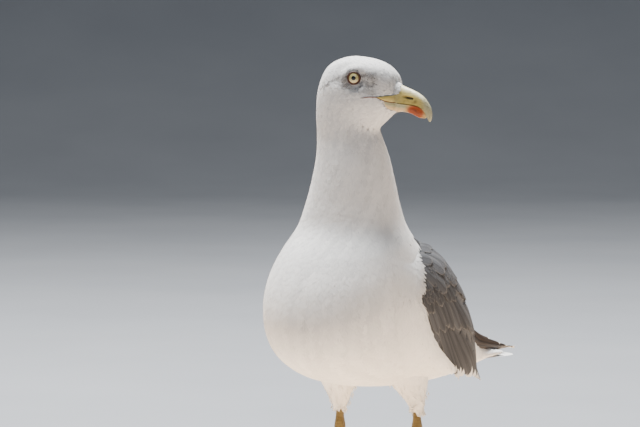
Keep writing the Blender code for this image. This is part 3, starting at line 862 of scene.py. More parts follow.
def head_marks_and_shade(places):
    """How grey the head is: its streaks, a line behind each eye, the skin round it, a crescent
    under the eye, the brow and the forehead, and painted shade over the hollow of the lores and
    along a line on the cheek under the eye."""
    ahead, height, out = head_place(places)
    line = bump(height, read_off(REAR_LINE, ahead), 0.0013)
    line = line * smooth(ahead, -0.026, -0.018) * smooth(-ahead, -0.010, -0.005)
    rim = bump(eye_distance(places), RING_REACH, 0.0032)
    lores_shade_patch = smooth(ahead, 0.020, 0.027) * smooth(-ahead, -0.0425, -0.0360) * smooth(height, 0.4055, 0.4095)
    # Grey over the hollow of the lores before the eye is painted shade.
    lores_shade = lores_shade_patch * smooth(-height, -0.4300, -0.4240) * (np.abs(out) > 0.006)
    under = bump(height, read_off(CRESCENT, ahead), 0.0014)
    under = under * smooth(ahead, -0.001, 0.004) * smooth(-ahead, -0.030, -0.022)
    # The faint grey line on the cheek under the eye is painted shade.
    cheek_shade = bump(ahead, 0.015, 0.014) * bump(height, 0.4090, 0.0020)
    brow = bump(ahead, 0.006, 0.014) * bump(height, 0.4345, 0.0030)
    fore = smooth(ahead, 0.022, 0.034) * bump(height, 0.4235, 0.0075)
    grey = 1.1 * line + 0.9 * rim + 0.72 * lores_shade + 0.5 * under + 0.3 * cheek_shade + 0.26 * brow + 0.34 * fore
    return np.clip(grey, 0, 1)


def downward(form, u, v, slope, share, rng):
    """The lie of the coat: part along the form's u, part backward and down at this slope."""
    share = np.asarray(share)[..., None]
    direction = unit(form.ahead(u, v) * (1 - share) + sloping(form, u, v, slope) * share)
    return swung(direction, form.up(u, v), rng.normal(0, 0.06, len(u)))


def varied(u, stations, lengths, rng, share=0.12):
    """Feather lengths that change along a form's u, each a little off by a random share."""
    return rng.normal(1, share, len(u)) * np.interp(u, stations, lengths)


rng = np.random.default_rng(11)
u, v = scattered(body, (0.02, HEAD_END), (0, 2 * math.pi), lambda u: 0.0016 + 0.00011 * u, face_keep, rng)
places, lie = body.at(u, v), tailward(body, u, v, rng, 0.09)
length = clear_of_eyes(places, lie, varied(u, [0, 2, 5, 8], [0.0034, 0.0054, 0.0078, 0.0100], rng))
long_enough = length > SHORTEST
u, v, places, lie, length = (x[long_enough] for x in (u, v, places, lie, length))
streak = mottled(u, v, 1.3, 0.055, rng)
head_vanes = vanes(
    body, u, v, lie, length, length * 0.50, read_off(COAT_DEPTH, u) * 0.28, rng, rows=4, columns=5,
    thick=0.00012, camber=0.00003, lift=0.00006, fray=0.20,
    tone=0.20 + 0.28 * streak + rng.normal(0, 0.07, len(u)),
    mark=np.clip(head_marks_and_shade(places) * (1 + 0.35 * streak) * rng.uniform(0.7, 1.3, len(u)), 0, 1),
)
coat("coat_head", [head_vanes], white_plumage, "white_plumage")


def from_back(v):
    """How far an angle is from the middle of the back."""
    return np.abs((v + math.pi) % (2 * math.pi) - math.pi)


def back_share(u, v):
    """1 where the grey mantle covers the back."""
    return (u > MANTLE_START) * (from_back(v) < MANTLE_HALF - MANTLE_LAP)


def neck_keep(u, v, places):
    return 1.0 - back_share(u, v)


u, v = scattered(body, (HEAD_END - 0.5, NECK_END), (0, 2 * math.pi), 0.0034, neck_keep, rng)
length = varied(u, [8, 13], [0.0105, 0.0155], rng)
lie = downward(body, u, v, math.radians(80), np.interp(u, [8, 10.5], [0.0, 0.75]), rng)
neck_vanes = vanes(
    body, u, v, lie, length, length * 0.46, read_off(COAT_DEPTH, u) * 0.18, rng, **SLEEK, fray=0.16,
    tone=0.12 + 0.30 * mottled(u, v, 1.5, 0.07, rng) + rng.normal(0, 0.04, len(u)),
    base=0.0003 * smooth(u, MANTLE_START - 0.9, MANTLE_START) * smooth(-from_back(v), -0.9, -0.6),
)
coat("coat_neck", [neck_vanes], white_plumage, "white_plumage")


# ------------------------------------------------------------------------------ eyes
# Each eye is a bright glass ball under the lids, with a pale yellow iris round a small dark pupil.
# A bare fleshy ring, dull red and finely beaded, holds it in the skin.
PUPIL, IRIS = 0.0022, 0.0049  # radii
CORNEA, CORNEA_REACH = 0.0005, 0.5  # how far the front bulges, and over what angle
RING_LONG, RING_HIGH, RING_THICK, RING_BEADS = 0.0060, 0.0057, 0.00100, 26


def painted(piece, name, values):
    """Writes one value, or one colour or vector of three, for each vertex."""
    kind = "FLOAT" if values.ndim == 1 else "FLOAT_VECTOR"
    field = "value" if values.ndim == 1 else "vector"
    layer = piece.data.attributes.new(name, kind, "POINT")
    layer.data.foreach_set(field, values.astype(np.float32).ravel())


def with_poles(values):
    """Values on a loft's grid, and their means at its two ends for its two poles."""
    ends = np.stack([values[0].mean(0), values[-1].mean(0)])
    return np.concatenate([values.reshape(-1, *values.shape[2:]), ends])


def dressed(piece, material, slot, *stands_for):
    """Gives a finished piece its material and rides it on the bird. Its slot is not used."""
    piece.data.materials.append(material)
    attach(piece, "root")
    if stands_for:
        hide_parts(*stands_for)


def lofted_piece(name, parts, material, slot, *stands_for):
    """A finished piece made of several lofts. Each is a grid of points and the values to paint."""
    piece = joined(name, [lofted(points) for points, _ in parts])
    for layer in parts[0][1]:
        painted(piece, layer, np.concatenate([with_poles(values[layer]) for _, values in parts]))
    dressed(piece, material, slot, *stands_for)


def eye_points(name, x, y, z):
    """Places x forward along the face, y up and z outward along the axis from an eye's middle."""
    axis = eye_axis[name]
    fore, high = unit(head_ahead - (head_ahead @ axis) * axis), unit(UPWARD - axis[2] * axis)
    return eye_middle[name] + x[..., None] * fore + y[..., None] * high + z[..., None] * axis


PUPIL_BLACK = (0.004, 0.004, 0.005)
IRIS_PALE, IRIS_RAY = (0.56, 0.50, 0.22), (0.36, 0.30, 0.11)
IRIS_FLECK, IRIS_RIM = (0.22, 0.15, 0.07), (0.16, 0.09, 0.03)
RING_DARK, RING_RED = (0.028, 0.011, 0.008), (0.085, 0.028, 0.015)

eye_glass, nodes, shader = finish("eye glass", 0.10, Coat_Weight=1.0, Coat_Roughness=0.02)
disc = nodes.vector("disc")
reach = nodes("VectorMath", {0: disc}, operation="LENGTH").outputs["Value"]
aim = nodes("VectorMath", {0: disc}, operation="NORMALIZE").outputs[0]
rays = nodes.noise(aim, 8.0, 5.0, 0.65)
flecks = nodes.noise(disc, 1500.0, 2.0)
iris = nodes.blend(nodes.ramp(rays, 0.36, 0.66), IRIS_PALE, IRIS_RAY)
iris = nodes.blend(nodes.times(nodes.ramp(flecks, 0.58, 0.72), 0.4), iris, IRIS_FLECK)
iris = nodes.blend(nodes.ramp(reach, 0.0042, IRIS), iris, IRIS_RIM)
past_pupil = nodes.ramp(reach, PUPIL - 1e-4, PUPIL + 1e-4)
nodes.feed(shader.inputs["Base Color"], nodes.blend(past_pupil, PUPIL_BLACK, iris))

ring_skin, nodes, shader = finish("eye ring", 0.5, Specular_IOR_Level=0.4)
spots = nodes.noise(nodes.place(), 900.0, 3.0)
colour = nodes.blend(nodes.ramp(spots, 0.3, 0.7), RING_DARK, RING_RED)
coloured(nodes, shader, colour, spots, 0.5, 0.0002)

turn, swing = cells(np.linspace(0.03, math.pi - 0.03, 64), around(72))
for name in SIDES:
    reach = eye_radius + CORNEA * bump(turn, 0, CORNEA_REACH)
    x, y = reach * np.sin(turn) * np.cos(swing), reach * np.sin(turn) * np.sin(swing)
    ball = [(eye_points(name, x, y, reach * np.cos(turn)), {"disc": xyz(x, y, 0.0)})]
    lofted_piece("eyeball_" + name, ball, eye_glass, "eye", "eye_" + name)

    round_ring, round_flesh = cells(around(8 * RING_BEADS), around(16))
    thick = RING_THICK * (0.84 + 0.16 * np.abs(np.cos(RING_BEADS / 2 * round_ring)))
    x = (RING_LONG + thick * np.cos(round_flesh)) * np.cos(round_ring)
    y = (RING_HIGH + thick * np.cos(round_flesh)) * np.sin(round_ring)
    z = EYE_WINDOW + thick * np.sin(round_flesh)
    ring = joined("eye_ring_" + name, [lofted(eye_points(name, x, y, z), ring=True)])
    dressed(ring, ring_skin, "eye")


# ------------------------------------------------------------------------------ bill
# Yellow horn over bone: the upper half hooks down over the lower, which has an angle below and a
# red spot on each side. A bare strip at each corner of the mouth joins the bill to the face.
# Forward of the neck's axis and height of the ridge, the same of the cutting edge, half width.
BILL_UPPER = np.array([
    (0.0519, 0.4178, 0.0519, 0.3990, 0.0086),
    (0.0580, 0.4150, 0.0580, 0.3983, 0.0072),
    (0.0655, 0.4122, 0.0655, 0.3977, 0.0062),
    (0.0730, 0.4090, 0.0725, 0.3967, 0.0057),
    (0.0797, 0.4045, 0.0783, 0.3943, 0.0050),
    (0.0849, 0.3985, 0.0818, 0.3908, 0.0041),
    (0.0879, 0.3925, 0.0836, 0.3872, 0.0031),
    (0.0885, 0.3868, 0.0846, 0.3840, 0.0021),
    (0.0878, 0.3828, 0.0854, 0.3818, 0.0011),
    (0.0864, 0.3806, 0.0861, 0.3805, 0.0003),
])
BILL_LOWER = np.array([  # the keel stands for the ridge
    (0.0519, 0.3899, 0.0519, 0.3982, 0.0078),
    (0.0580, 0.3900, 0.0580, 0.3975, 0.0066),
    (0.0660, 0.3882, 0.0660, 0.3968, 0.0056),
    (0.0740, 0.3848, 0.0738, 0.3955, 0.0049),
    (0.0790, 0.3842, 0.0785, 0.3935, 0.0040),
    (0.0822, 0.3848, 0.0816, 0.3906, 0.0027),
    (0.0838, 0.3866, 0.0832, 0.3884, 0.0010),
])
HORN, LIT_PALE_RIDGE, TIP_HORN = np.array([(0.52, 0.42, 0.13), (0.74, 0.70, 0.48), (0.38, 0.37, 0.24)])
LOWER_BAND, LOWER_TAN = np.array([(0.38, 0.38, 0.24), (0.55, 0.42, 0.23)])
# The darkest tint marks the dark spots on the bill and paints shade into the nostrils.
RED_SPOT, PALE_RED, DARK_MARK_AND_SHADE = np.array([(0.30, 0.052, 0.004), (0.46, 0.22, 0.09), (0.05, 0.028, 0.016)])
GAPE_RED = np.array((0.13, 0.035, 0.02))
NOSTRIL = np.array([(0.0590, 0.4052), (0.0705, 0.4030)])  # its two ends
FACE_EDGE = 0.0503  # forward of the neck's axis, where the face's side ends and the bill's starts
STRIP_END = 0.0545  # forward of the neck's axis, where the bare strips end on the bill
BILL_PARTING = 0.3988  # height at the bill's base where its two halves meet
SECTION_POWER = 0.9  # of the bill's sections: 1 is an ellipse


def head_point(forward, height, out):
    """A place from its distance forward of the neck's axis, its height and how far out to the left."""
    forward, height, out = (np.asarray(x)[..., None] for x in np.broadcast_arrays(forward, height, out))
    return neck_axis * (1, 1, 0) + forward * head_ahead + out * head_left + height * (0, 0, 1)


def bill_grid(rows, steps):
    """Forward, height, out and share of the way from the cutting edge to the ridge over one half
    of the bill. A section's outer side is out = half width cos a, share = sin(a)^0.9, and its
    inner side rises an eighth as far."""
    s = np.linspace(-1.1, len(rows) - 1, steps)
    outer = np.linspace(0, math.pi, 96, endpoint=False)
    inner = np.linspace(math.pi, 2 * math.pi, 24, endpoint=False)
    a = np.concatenate([outer, inner])
    ridge_f, ridge_z, edge_f, edge_z, half = columns_of(rows, s)
    share = np.abs(np.sin(a))
    share = np.where(a <= math.pi, share**SECTION_POWER, 0.125 * share**0.7) + 0 * half
    out = half * np.cos(a) * (1 + 0.05 * bump(share, 0, 0.10))
    return edge_f + (ridge_f - edge_f) * share, edge_z + (ridge_z - edge_z) * share, out, share


def on_face(forward, height, side, rise):
    """Places on the side of the head at these distances forward and heights. The nearest of a
    grid of points starts each, and a few steps along the surface close what is left."""
    u, v = cells(np.linspace(0, 7, 141), side * np.linspace(0.15, 3.0, 143))
    ahead, up, _ = head_place(body.at(u, v))
    want_ahead, want_up = forward.ravel(), height.ravel()
    gap = (ahead.ravel() - want_ahead[:, None]) ** 2 + (up.ravel() - want_up[:, None]) ** 2
    nearest = gap.argmin(1)
    u, v = u.ravel()[nearest], v.ravel()[nearest]
    for _ in range(6):
        ahead, up, _ = head_place(body.at(u, v))
        u, v = body.step(u, v, (want_ahead - ahead)[:, None] * head_ahead + (want_up - up)[:, None] * UPWARD)
        u = np.clip(u, 0, 7)
    return body.at(u, v, rise.ravel()).reshape(*forward.shape, 3)


def mouth_side(forward, height, side, rise):
    """Places over the face's side that pass onto the bill's side beyond the feathers' edge."""
    forward, height, rise = np.broadcast_arrays(forward, height, rise)
    face = on_face(np.minimum(forward, FACE_EDGE), height, side, rise)
    face = face + head_ahead * (forward - np.minimum(forward, FACE_EDGE))[..., None]
    ridge, edge, half = (
        np.where(height > BILL_PARTING, read_off(BILL_UPPER, forward, k), read_off(BILL_LOWER, forward, k))
        for k in (1, 3, 4)
    )
    share = np.clip((height - edge) / (ridge - edge), 0, 1) ** (1 / SECTION_POWER)
    horn = head_point(forward, height, side * (half * np.sqrt(1 - share**2) + rise))
    return mixed(face, horn, smooth(forward, FACE_EDGE, FACE_EDGE + 0.0025))


def horn_part(forward, height, out, tint, points=None):
    """A loft of horn, with the two layers that its finish reads: its tint, and its grain's place."""
    points = head_point(forward, height, out) if points is None else points
    return points, {"tint": tint, "grain": xyz(forward, height, out)}


# Horn: streaks along the bill, worn blotches, scuffs, and a dull polish. The tint is worked out
# for each point of a piece from its place on the bill, and holds a painted highlight along the
# upper ridge and painted shade in the nostrils.
bill_horn, nodes, shader = finish("bill horn", 0.36, Specular_IOR_Level=0.35)
grain = nodes.vector("grain")
long_way = nodes("VectorMath", {0: grain, 1: (90.0, 900.0, 900.0)}, operation="MULTIPLY").outputs[0]
streaks = nodes.noise(long_way, 1.0, 4.0, 0.6)
blotches = nodes.noise(grain, 260.0, 3.0)
scuffs = nodes.noise(grain, 1300.0, 4.0)
colour = nodes.multiplied(nodes.ramp(streaks, 0.45, 0.8), nodes.vector("tint"), (0.60, 0.55, 0.45))
colour = nodes.multiplied(nodes.ramp(blotches, 0.5, 0.85), colour, (0.66, 0.62, 0.50))
coloured(nodes, shader, colour, nodes.plus(streaks, nodes.times(scuffs, 0.5)), 0.3, 0.0002)
nodes.feed(shader.inputs["Roughness"], nodes.between(scuffs, 0.26, 0.52))

# Upper half.
forward, height, out, share = bill_grid(BILL_UPPER, 150)
bill_base = Form(head_point(forward, height, out)[:36, :97], (0, 35), (0, 96), False)
slit_line = read_off(NOSTRIL, forward)
slit_ends = smooth(forward, NOSTRIL[0, 0] - 0.0006, NOSTRIL[0, 0] + 0.0014)
slit_ends = slit_ends * (1 - smooth(forward, NOSTRIL[1, 0] - 0.0010, NOSTRIL[1, 0] + 0.0004))
slit = bump(height, slit_line, 0.00090) * slit_ends * (share < 0.9)
shelf = bump(height, slit_line + 0.0014, 0.0011) * slit_ends * (share < 0.95)
out = out - np.sign(out) * (0.0015 * slit - 0.0003 * shelf)
tint = layered(
    HORN,
    # The ridge is paler: partly the horn's own paler ridge, partly a painted highlight of the light from
    # above.
    (LIT_PALE_RIDGE, smooth(share, 0.60, 0.95) * smooth(forward, 0.052, 0.058)),
    (TIP_HORN, 0.85 * smooth(forward, 0.0765, 0.0845)),
    (LOWER_BAND, 0.35 * (1 - smooth(forward, 0.052, 0.060))),
    (DARK_MARK_AND_SHADE, 0.62 * bump(forward, 0.0728, 0.0019) * bump(height, 0.4003, 0.0017)),
    # The nostril's slit is painted dark: painted shade in the opening.
    (DARK_MARK_AND_SHADE, np.clip(1.3 * slit, 0, 1) * smooth(forward, 0.0600, 0.0645)),
)
upper = [horn_part(forward, height, out, tint)]
lofted_piece("bill_upper_horn", upper, bill_horn, "bill_horn", "bill_upper")

# The forehead's small feathers run on over the base of the upper half, down its sides to the
# strip, and point back from it.
BASE_START, BASE_END, BASE_LOW = 0.0480, 0.0572, 0.4066  # the feathers' reach back, forward and down
rng = np.random.default_rng(12)


def base_keep(u, v, places):
    ahead, height, _ = head_place(places)
    border = BASE_END - 0.0012 * smooth(height, 0.4100, 0.4160) + 0.0004 * np.sin(height * 9000)
    return ((ahead < border) & (ahead > BASE_START) & (height > BASE_LOW)).astype(float)


u, v = scattered(bill_base, (0, 35), (3, 93), 0.0011, base_keep, rng)
away = swung(-bill_base.ahead(u, v), bill_base.up(u, v), rng.normal(0, 0.25, len(u)))
base_vanes = vanes(
    bill_base, u, v, away, rng.normal(0.0032, 0.0005, len(u)), 0.0013, 0.0003, rng, rows=4, columns=5,
    thick=0.00014, camber=0.00005, lift=0.0002, fray=0.2, base=0.0007, mark=rng.uniform(0, 0.25, len(u)),
)
coat("coat_bill_base", [base_vanes], white_plumage, "white_plumage")

# Lower half.
forward, height, out, share = bill_grid(BILL_LOWER, 110)
spot_reach = ((forward - 0.0722) / 0.0090) ** 2 + ((height - 0.3900) / 0.0070) ** 2
tint = layered(
    LOWER_BAND,
    (LOWER_TAN, smooth(share, 0.35, 0.60)),
    (HORN, smooth(forward, 0.0590, 0.0690)),
    (TIP_HORN, 0.6 * smooth(forward, 0.0795, 0.0835)),
    (PALE_RED, 0.85 * (1 - smooth(spot_reach, 0.75, 2.0))),
    (RED_SPOT, 1 - smooth(spot_reach, 0.50, 1.25)),
    (DARK_MARK_AND_SHADE, 0.60 * bump(forward, 0.0728, 0.0014) * bump(height, 0.3915, 0.0011)),
)
lower = [horn_part(forward, height, out, tint)]
lofted_piece("bill_lower_horn", lower, bill_horn, "bill_horn", "bill_lower")

# Corners of the mouth: a pillow of skin above the line, another below it, and the line itself.
parts = []
for side in SIDES.values():
    for table, skin_tint in ((STRIP_TOP, HORN), (STRIP_LOW, LOWER_BAND)):
        along, pillow = cells(np.linspace(table[0, 0], STRIP_END, 40), around(28))
        line, edge = read_off(GAPE, along), read_off(table, along)
        height = line + (edge - line) * (0.5 - 0.5 * np.cos(pillow))
        rise = 0.0001 + np.where(pillow < math.pi, 0.0007, 0.0009) * np.sin(pillow)
        rise = rise * (1 - 0.9 * smooth(along, 0.0510, STRIP_END)) - 0.0003 * smooth(along, 0.0525, STRIP_END)
        if table is STRIP_TOP:
            front_tint, front_share = mixed(skin_tint, LOWER_BAND, 0.35), smooth(along, 0.048, 0.053)
        else:
            down = np.abs(height - line) / np.maximum(np.abs(edge - line), 1e-5)
            front_tint, front_share = LOWER_TAN, smooth(down, 0.35, 0.65)
        tint = mixed(skin_tint + 0 * along[..., None], front_tint, front_share)
        parts.append(horn_part(along, height, side * rise, tint, mouth_side(along, height, side, rise)))
    along, turn = cells(np.linspace(GAPE[0, 0], 0.0530, 70), around(10))
    thin = 0.00042 * smooth(along, GAPE[0, 0] - 0.002, GAPE[0, 0] + 0.006)
    height = read_off(GAPE, along) + thin * np.cos(turn)
    line = mouth_side(along, height, side, 0.0003 + thin * np.sin(turn))
    parts.append(horn_part(along, height, 0 * along, GAPE_RED + 0 * along[..., None], line))
lofted_piece("mouth_corners", parts, bill_horn, "bill_horn")


# ------------------------------------------------------------------------------ breast and belly
# Longer feathers cover breast, belly and flanks in loose overlapping rows. They run under the
# folded wings and back to the coverts round the tail.
UNDER_MARGIN = 0.012  # how far the white feathers run in under the folded wing
BACK_END = 20  # station where the white rump starts


def under_wing(places, margin):
    """1 where a place on the trunk's side lies under a folded wing, at least margin from its edge."""
    behind, height = places[..., 1] - legs_y, places[..., 2]
    above = height > read_off(WING, behind, 6) + margin
    below = height < read_off(WING, behind, 2) - margin
    return ((behind > WING[0, 0] + margin) & above & below).astype(float)


def trunk_spacing(u):
    return np.interp(u, [13, 16, 20, 23], [0.0036, 0.0041, 0.0046, 0.0048])


def trunk_keep(u, v, places):
    return (1 - under_wing(places, UNDER_MARGIN)) * (1 - back_share(u, v) * (u < BACK_END))


for name, start, end in (
    ("coat_breast", NECK_END - 0.5, 15.6),
    ("coat_belly", 15.4, 18.4),
    ("coat_vent", 18.2, 23.4),
):
    u, v = scattered(body, (start, end), (0, 2 * math.pi), trunk_spacing, trunk_keep, rng)
    length = varied(u, [12, 15, 20, 23], [0.0150, 0.0200, 0.0210, 0.0230], rng)
    slope = np.radians(np.interp(u, [13, 16, 19], [65, 45, 12]))
    lie = downward(body, u, v, slope, np.interp(u, [13, 20], [0.75, 0.6]), rng)
    trunk_vanes = vanes(
        body, u, v, lie, length, length * 0.45, read_off(COAT_DEPTH, u) * 0.16, rng, **SLEEK, fray=0.14,
        tone=0.08 + 0.30 * mottled(u, v, 1.2, 0.06, rng) + rng.normal(0, 0.03, len(u)),
    )
    coat(name, [trunk_vanes], white_plumage, "white_plumage")


# ------------------------------------------------------------------------------ legs and feet
# Bare ochre-yellow legs: plates down the front of each shank and along the tops of the toes, small
# scales elsewhere. Folded skin webs the three front toes, and every toe ends in a dark claw.
# Height, forward of the ankle, half width across, half depth.
SHANK = np.array([
    (0.0980, 0.000, 0.0036, 0.0042),
    (0.0905, 0.000, 0.0038, 0.0044),
    (0.0800, 0.000, 0.0041, 0.0048),
    (0.0690, 0.000, 0.0056, 0.0062),  # ankle
    (0.0600, 0.001, 0.0041, 0.0052),
    (0.0400, 0.003, 0.0030, 0.0043),
    (0.0200, 0.004, 0.0031, 0.0044),
    (0.0085, 0.005, 0.0042, 0.0052),
])
PLATE, PLATE_DEEP = 0.0033, 0.00028  # a shank plate's height and the groove between two
TOE_ROOT = 0.0055  # the toes' meeting point, forward of the ankle
# Length, heading in degrees outward of straight ahead, radius at the base, length of the claw.
TOES = (
    (0.043, -27, 0.0031, 0.0062),  # inner
    (0.058, -2, 0.0034, 0.0072),  # middle
    (0.053, 24, 0.0032, 0.0062),  # outer
    (0.009, 188, 0.0019, 0.0030),  # hind
)
TOE_PLATE, TOE_PLATE_DEEP = 0.0024, 0.00022
TOE_JOINTS = 0.0165  # from one joint of a toe to the next
CLAW_ARC = 1.25  # the angle over which a claw curves down
LEG, LEG_PALE, LEG_DARK = (0.125, 0.082, 0.016), (0.180, 0.128, 0.036), (0.046, 0.029, 0.009)
CLAW_DARK, CLAW_PALE = (0.016, 0.012, 0.010), (0.075, 0.055, 0.040)
WEB_FOLD = 0.00018  # height of the wrinkles along the web


def plates(along, length):
    """1 on a plate and 0 in the groove between two: 1 - |2 part of (along / length) - 1|^8."""
    return 1 - np.abs(2 * (along / length % 1) - 1) ** 8


leg_skin, nodes, shader = finish("leg skin", 0.46, Specular_IOR_Level=0.5)
position = nodes.place()
scales = nodes("TexVoronoi", {"Vector": position, "Scale": 620.0}, feature="DISTANCE_TO_EDGE")
crack = nodes.minus(1.0, nodes.ramp(scales.outputs["Distance"], 0.0, 0.16))
crack = nodes.times(crack, nodes.number("plain"))
hue = nodes.noise(position, 160.0, 4.0)
dust = nodes.noise(position, 1400.0, 3.0)
colour = nodes.blend(nodes.ramp(hue, 0.38, 0.66), LEG, LEG_PALE)
colour = nodes.blend(nodes.times(nodes.ramp(dust, 0.55, 0.75), 0.35), colour, LEG_DARK)
# Seams: dark joints between plates and scales, and on the web painted shade in the troughs of its folds.
seams = nodes.math("MAXIMUM", nodes.number("groove"), crack)
colour = nodes.blend(nodes.times(seams, 0.75), colour, LEG_DARK)
coloured(nodes, shader, colour, nodes.minus(nodes.times(dust, 0.3), crack), 0.6, 0.0003)
nodes.feed(shader.inputs["Roughness"], nodes.between(hue, 0.36, 0.58))

claw_horn, nodes, shader = finish("claw horn", 0.3, Specular_IOR_Level=0.5)
wear = nodes.noise(nodes.place(), 700.0, 4.0)
nodes.feed(shader.inputs["Base Color"], nodes.blend(nodes.ramp(wear, 0.35, 0.75), CLAW_DARK, CLAW_PALE))
nodes.feed(shader.inputs["Roughness"], nodes.between(wear, 0.22, 0.45))


def toe_line(root, length, heading, radius, share):
    """A toe's middle line at shares of its length, and its radius there: it leaves the root a
    little behind, sinks from 1.4 to 0.55 radii high, and tapers to about a quarter."""
    reach = length * share - 0.7 * radius
    rise = radius * (0.90 + 0.5 * (1 - share) ** 3 - 0.35 * share**4)
    thick = radius * (1 - 0.35 * share - 0.38 * share**6)
    return root[0] + reach * np.sin(heading), root[1] - reach * np.cos(heading), rise, thick


def tube_round(x, y, z, thick, heading, a):
    """Points round a middle line that runs level along a heading: aside cos a, up sin a."""
    aside = thick * np.cos(a)
    return xyz(x + aside * np.cos(heading), y + aside * np.sin(heading), z + thick * np.sin(a))


for name, side in SIDES.items():
    ankle_x, behind = ANKLE[name]
    ankle_y = legs_y + behind
    rows, a = cells(np.linspace(0, len(SHANK) - 1, 300), around(48))
    z, ahead, across, deep = np.moveaxis(through(SHANK, rows), -1, 0)
    front = smooth(-np.sin(a), 0.25, 0.75)
    plate = plates(z + 0.0006 * np.cos(a), PLATE)
    swell = PLATE_DEEP * (plate - 1) * front
    points = xyz(ankle_x + (across + swell) * np.cos(a), ankle_y - ahead + (deep + swell) * np.sin(a), z)
    shank = [(points, {"groove": (1 - plate) * front, "plain": 1 - front})]
    lofted_piece("shank_skin_" + name, shank, leg_skin, "leg_scales", "shank_" + name)

    root = (ankle_x, ankle_y - TOE_ROOT)
    parts, claws = [], []
    for length, degrees, radius, claw_length in TOES:
        heading = math.radians(degrees) * side
        share, a = cells(np.linspace(0, 1, 150), around(32))
        x, y, z, thick = toe_line(root, length, heading, radius, share)
        top = smooth(np.sin(a), 0.0, 0.5)
        plate = plates(length * share, TOE_PLATE)
        joint = 1 + 0.10 * np.cos(2 * math.pi * length * share / TOE_JOINTS) * (1 - top)
        points = tube_round(x, y, z, (thick + TOE_PLATE_DEEP * (plate - 1) * top) * joint, heading, a)
        points[..., 2] = np.maximum(points[..., 2], 0.0)
        parts.append((points, {"groove": (1 - plate) * top, "plain": 1 - top}))
        t, a = cells(np.linspace(0, 1, 24), around(16))
        reach = length * 0.93 - 0.7 * radius + claw_length * np.sin(CLAW_ARC * t) / math.sin(CLAW_ARC)
        x, y = root[0] + reach * math.sin(heading), root[1] - reach * math.cos(heading)
        start = radius * 0.62
        claw_thick = start * 0.85 * (1 - t) ** 0.7 + 0.00012
        z = start + radius * 0.16 + 0.0006 * np.sin(math.pi * t) - (start - 0.0001) * t**2.2
        claws.append((tube_round(x, y, np.maximum(z, claw_thick), claw_thick, heading, a), {}))
    # The web: a fan of skin between the toes, drawn in at its front edge between two toes, and
    # wrinkled along them. across runs over the three toes and out from the root to the edge.
    reaches = np.array([0.92 * length for length, *_ in TOES[:3]])
    headings = np.array([math.radians(degrees) * side for _, degrees, *_ in TOES[:3]])
    across, loop = cells(np.linspace(0, 2, 81), np.linspace(0, 2, 72, endpoint=False))
    out = 1 - np.abs(loop - 1)
    part = np.minimum(across.astype(int), 1)
    between = across - part
    near, far = reaches[part], reaches[part + 1]
    reach = near + (far - near) * between - 0.30 * np.minimum(near, far) * np.sin(math.pi * between) ** 0.8
    turn = headings[part] + (headings[part + 1] - headings[part]) * between
    folds = WEB_FOLD * np.cos(2 * math.pi * 5 * between) * np.sin(math.pi * between) * out
    z = np.where(loop > 1, 0.0, 0.0011 - 0.0004 * np.sin(math.pi * between) * out + folds)
    reach = 0.001 + (reach - 0.001) * out
    points = xyz(root[0] + reach * np.sin(turn), root[1] - reach * np.cos(turn), z)
    # The troughs of the web's folds take half the grooves' darkness: painted shade in the creases.
    parts.append((points, {"groove": 0.5 * smooth(-folds / WEB_FOLD, 0.3, 1.0), "plain": 1 + 0 * z}))
    # The knuckle where shank and toes meet.
    t, a = cells(np.linspace(0, 1, 20), around(40))
    wide = 0.0064 - 0.0016 * t**1.5
    points = xyz(root[0] + wide * np.cos(a), root[1] + wide * 1.05 * np.sin(a), 0.0105 * t)
    parts.append((points, {"groove": 0 * t, "plain": 1 + 0 * t}))
    lofted_piece("foot_skin_" + name, parts, leg_skin, "leg_scales", "foot_" + name)
    lofted_piece("claws_" + name, claws, claw_horn, "leg_scales")


# ------------------------------------------------------------------------------ thighs
# Short soft feathers cover the thighs and end above the ankles in a loose, ragged cuff.
CUFF_ROW, CUFF_COUNT, THIGH_WISPS = 4.05, 44, 150  # station of the cuff's roots, and counts
BELLY_COVER = 0.016  # how far up behind the belly's lower outline the thigh's feathers run


def outside_belly(u, v, places):
    """1 where a place on a thigh stands clear below the trunk's coat."""
    belly = np.interp(places[..., 1] - legs_y, -BODY[13:22, 2], BODY[13:22, 3])
    return (places[..., 2] < belly + BELLY_COVER).astype(float)


rng = np.random.default_rng(14)
for name, form in thighs.items():
    u, v = scattered(form, (0.5, 4.05), (0, 2 * math.pi), 0.0024, outside_belly, rng)
    length = varied(u, [1, 4], [0.0125, 0.0085], rng, 0.14)
    soft = vanes(
        form, u, v, tailward(form, u, v, rng, 0.12), length, length * 0.56, 0.0003, rng, columns=5,
        thick=0.00012, camber=0.00002, lift=0.00005, fray=0.26, tone=rng.normal(0.10, 0.05, len(u)),
    )
    v = around(CUFF_COUNT) + rng.normal(0, 0.08, CUFF_COUNT)
    u = rng.normal(CUFF_ROW, 0.12, CUFF_COUNT)
    cuff = vanes(
        form, u, v, tailward(form, u, v, rng, 0.25), rng.uniform(0.0050, 0.0095, CUFF_COUNT), 0.0026, 0.0008,
        rng, **WISP, lift=0.0022, fray=0.35, tone=rng.normal(0.12, 0.08, CUFF_COUNT),
    )
    v = rng.uniform(0, 2 * math.pi, THIGH_WISPS)
    u = rng.uniform(1.6, 4.0, THIGH_WISPS)
    loose = vanes(
        form, u, v, tailward(form, u, v, rng, 0.40), rng.uniform(0.007, 0.013, THIGH_WISPS), 0.0014, 0.0, rng,
        **WISP, rows=6, lift=0.0024, fray=0.4, tone=0.1, base=0.0001,
    )
    coat("coat_thigh_" + name, [soft, cuff, loose], white_plumage, "white_plumage")


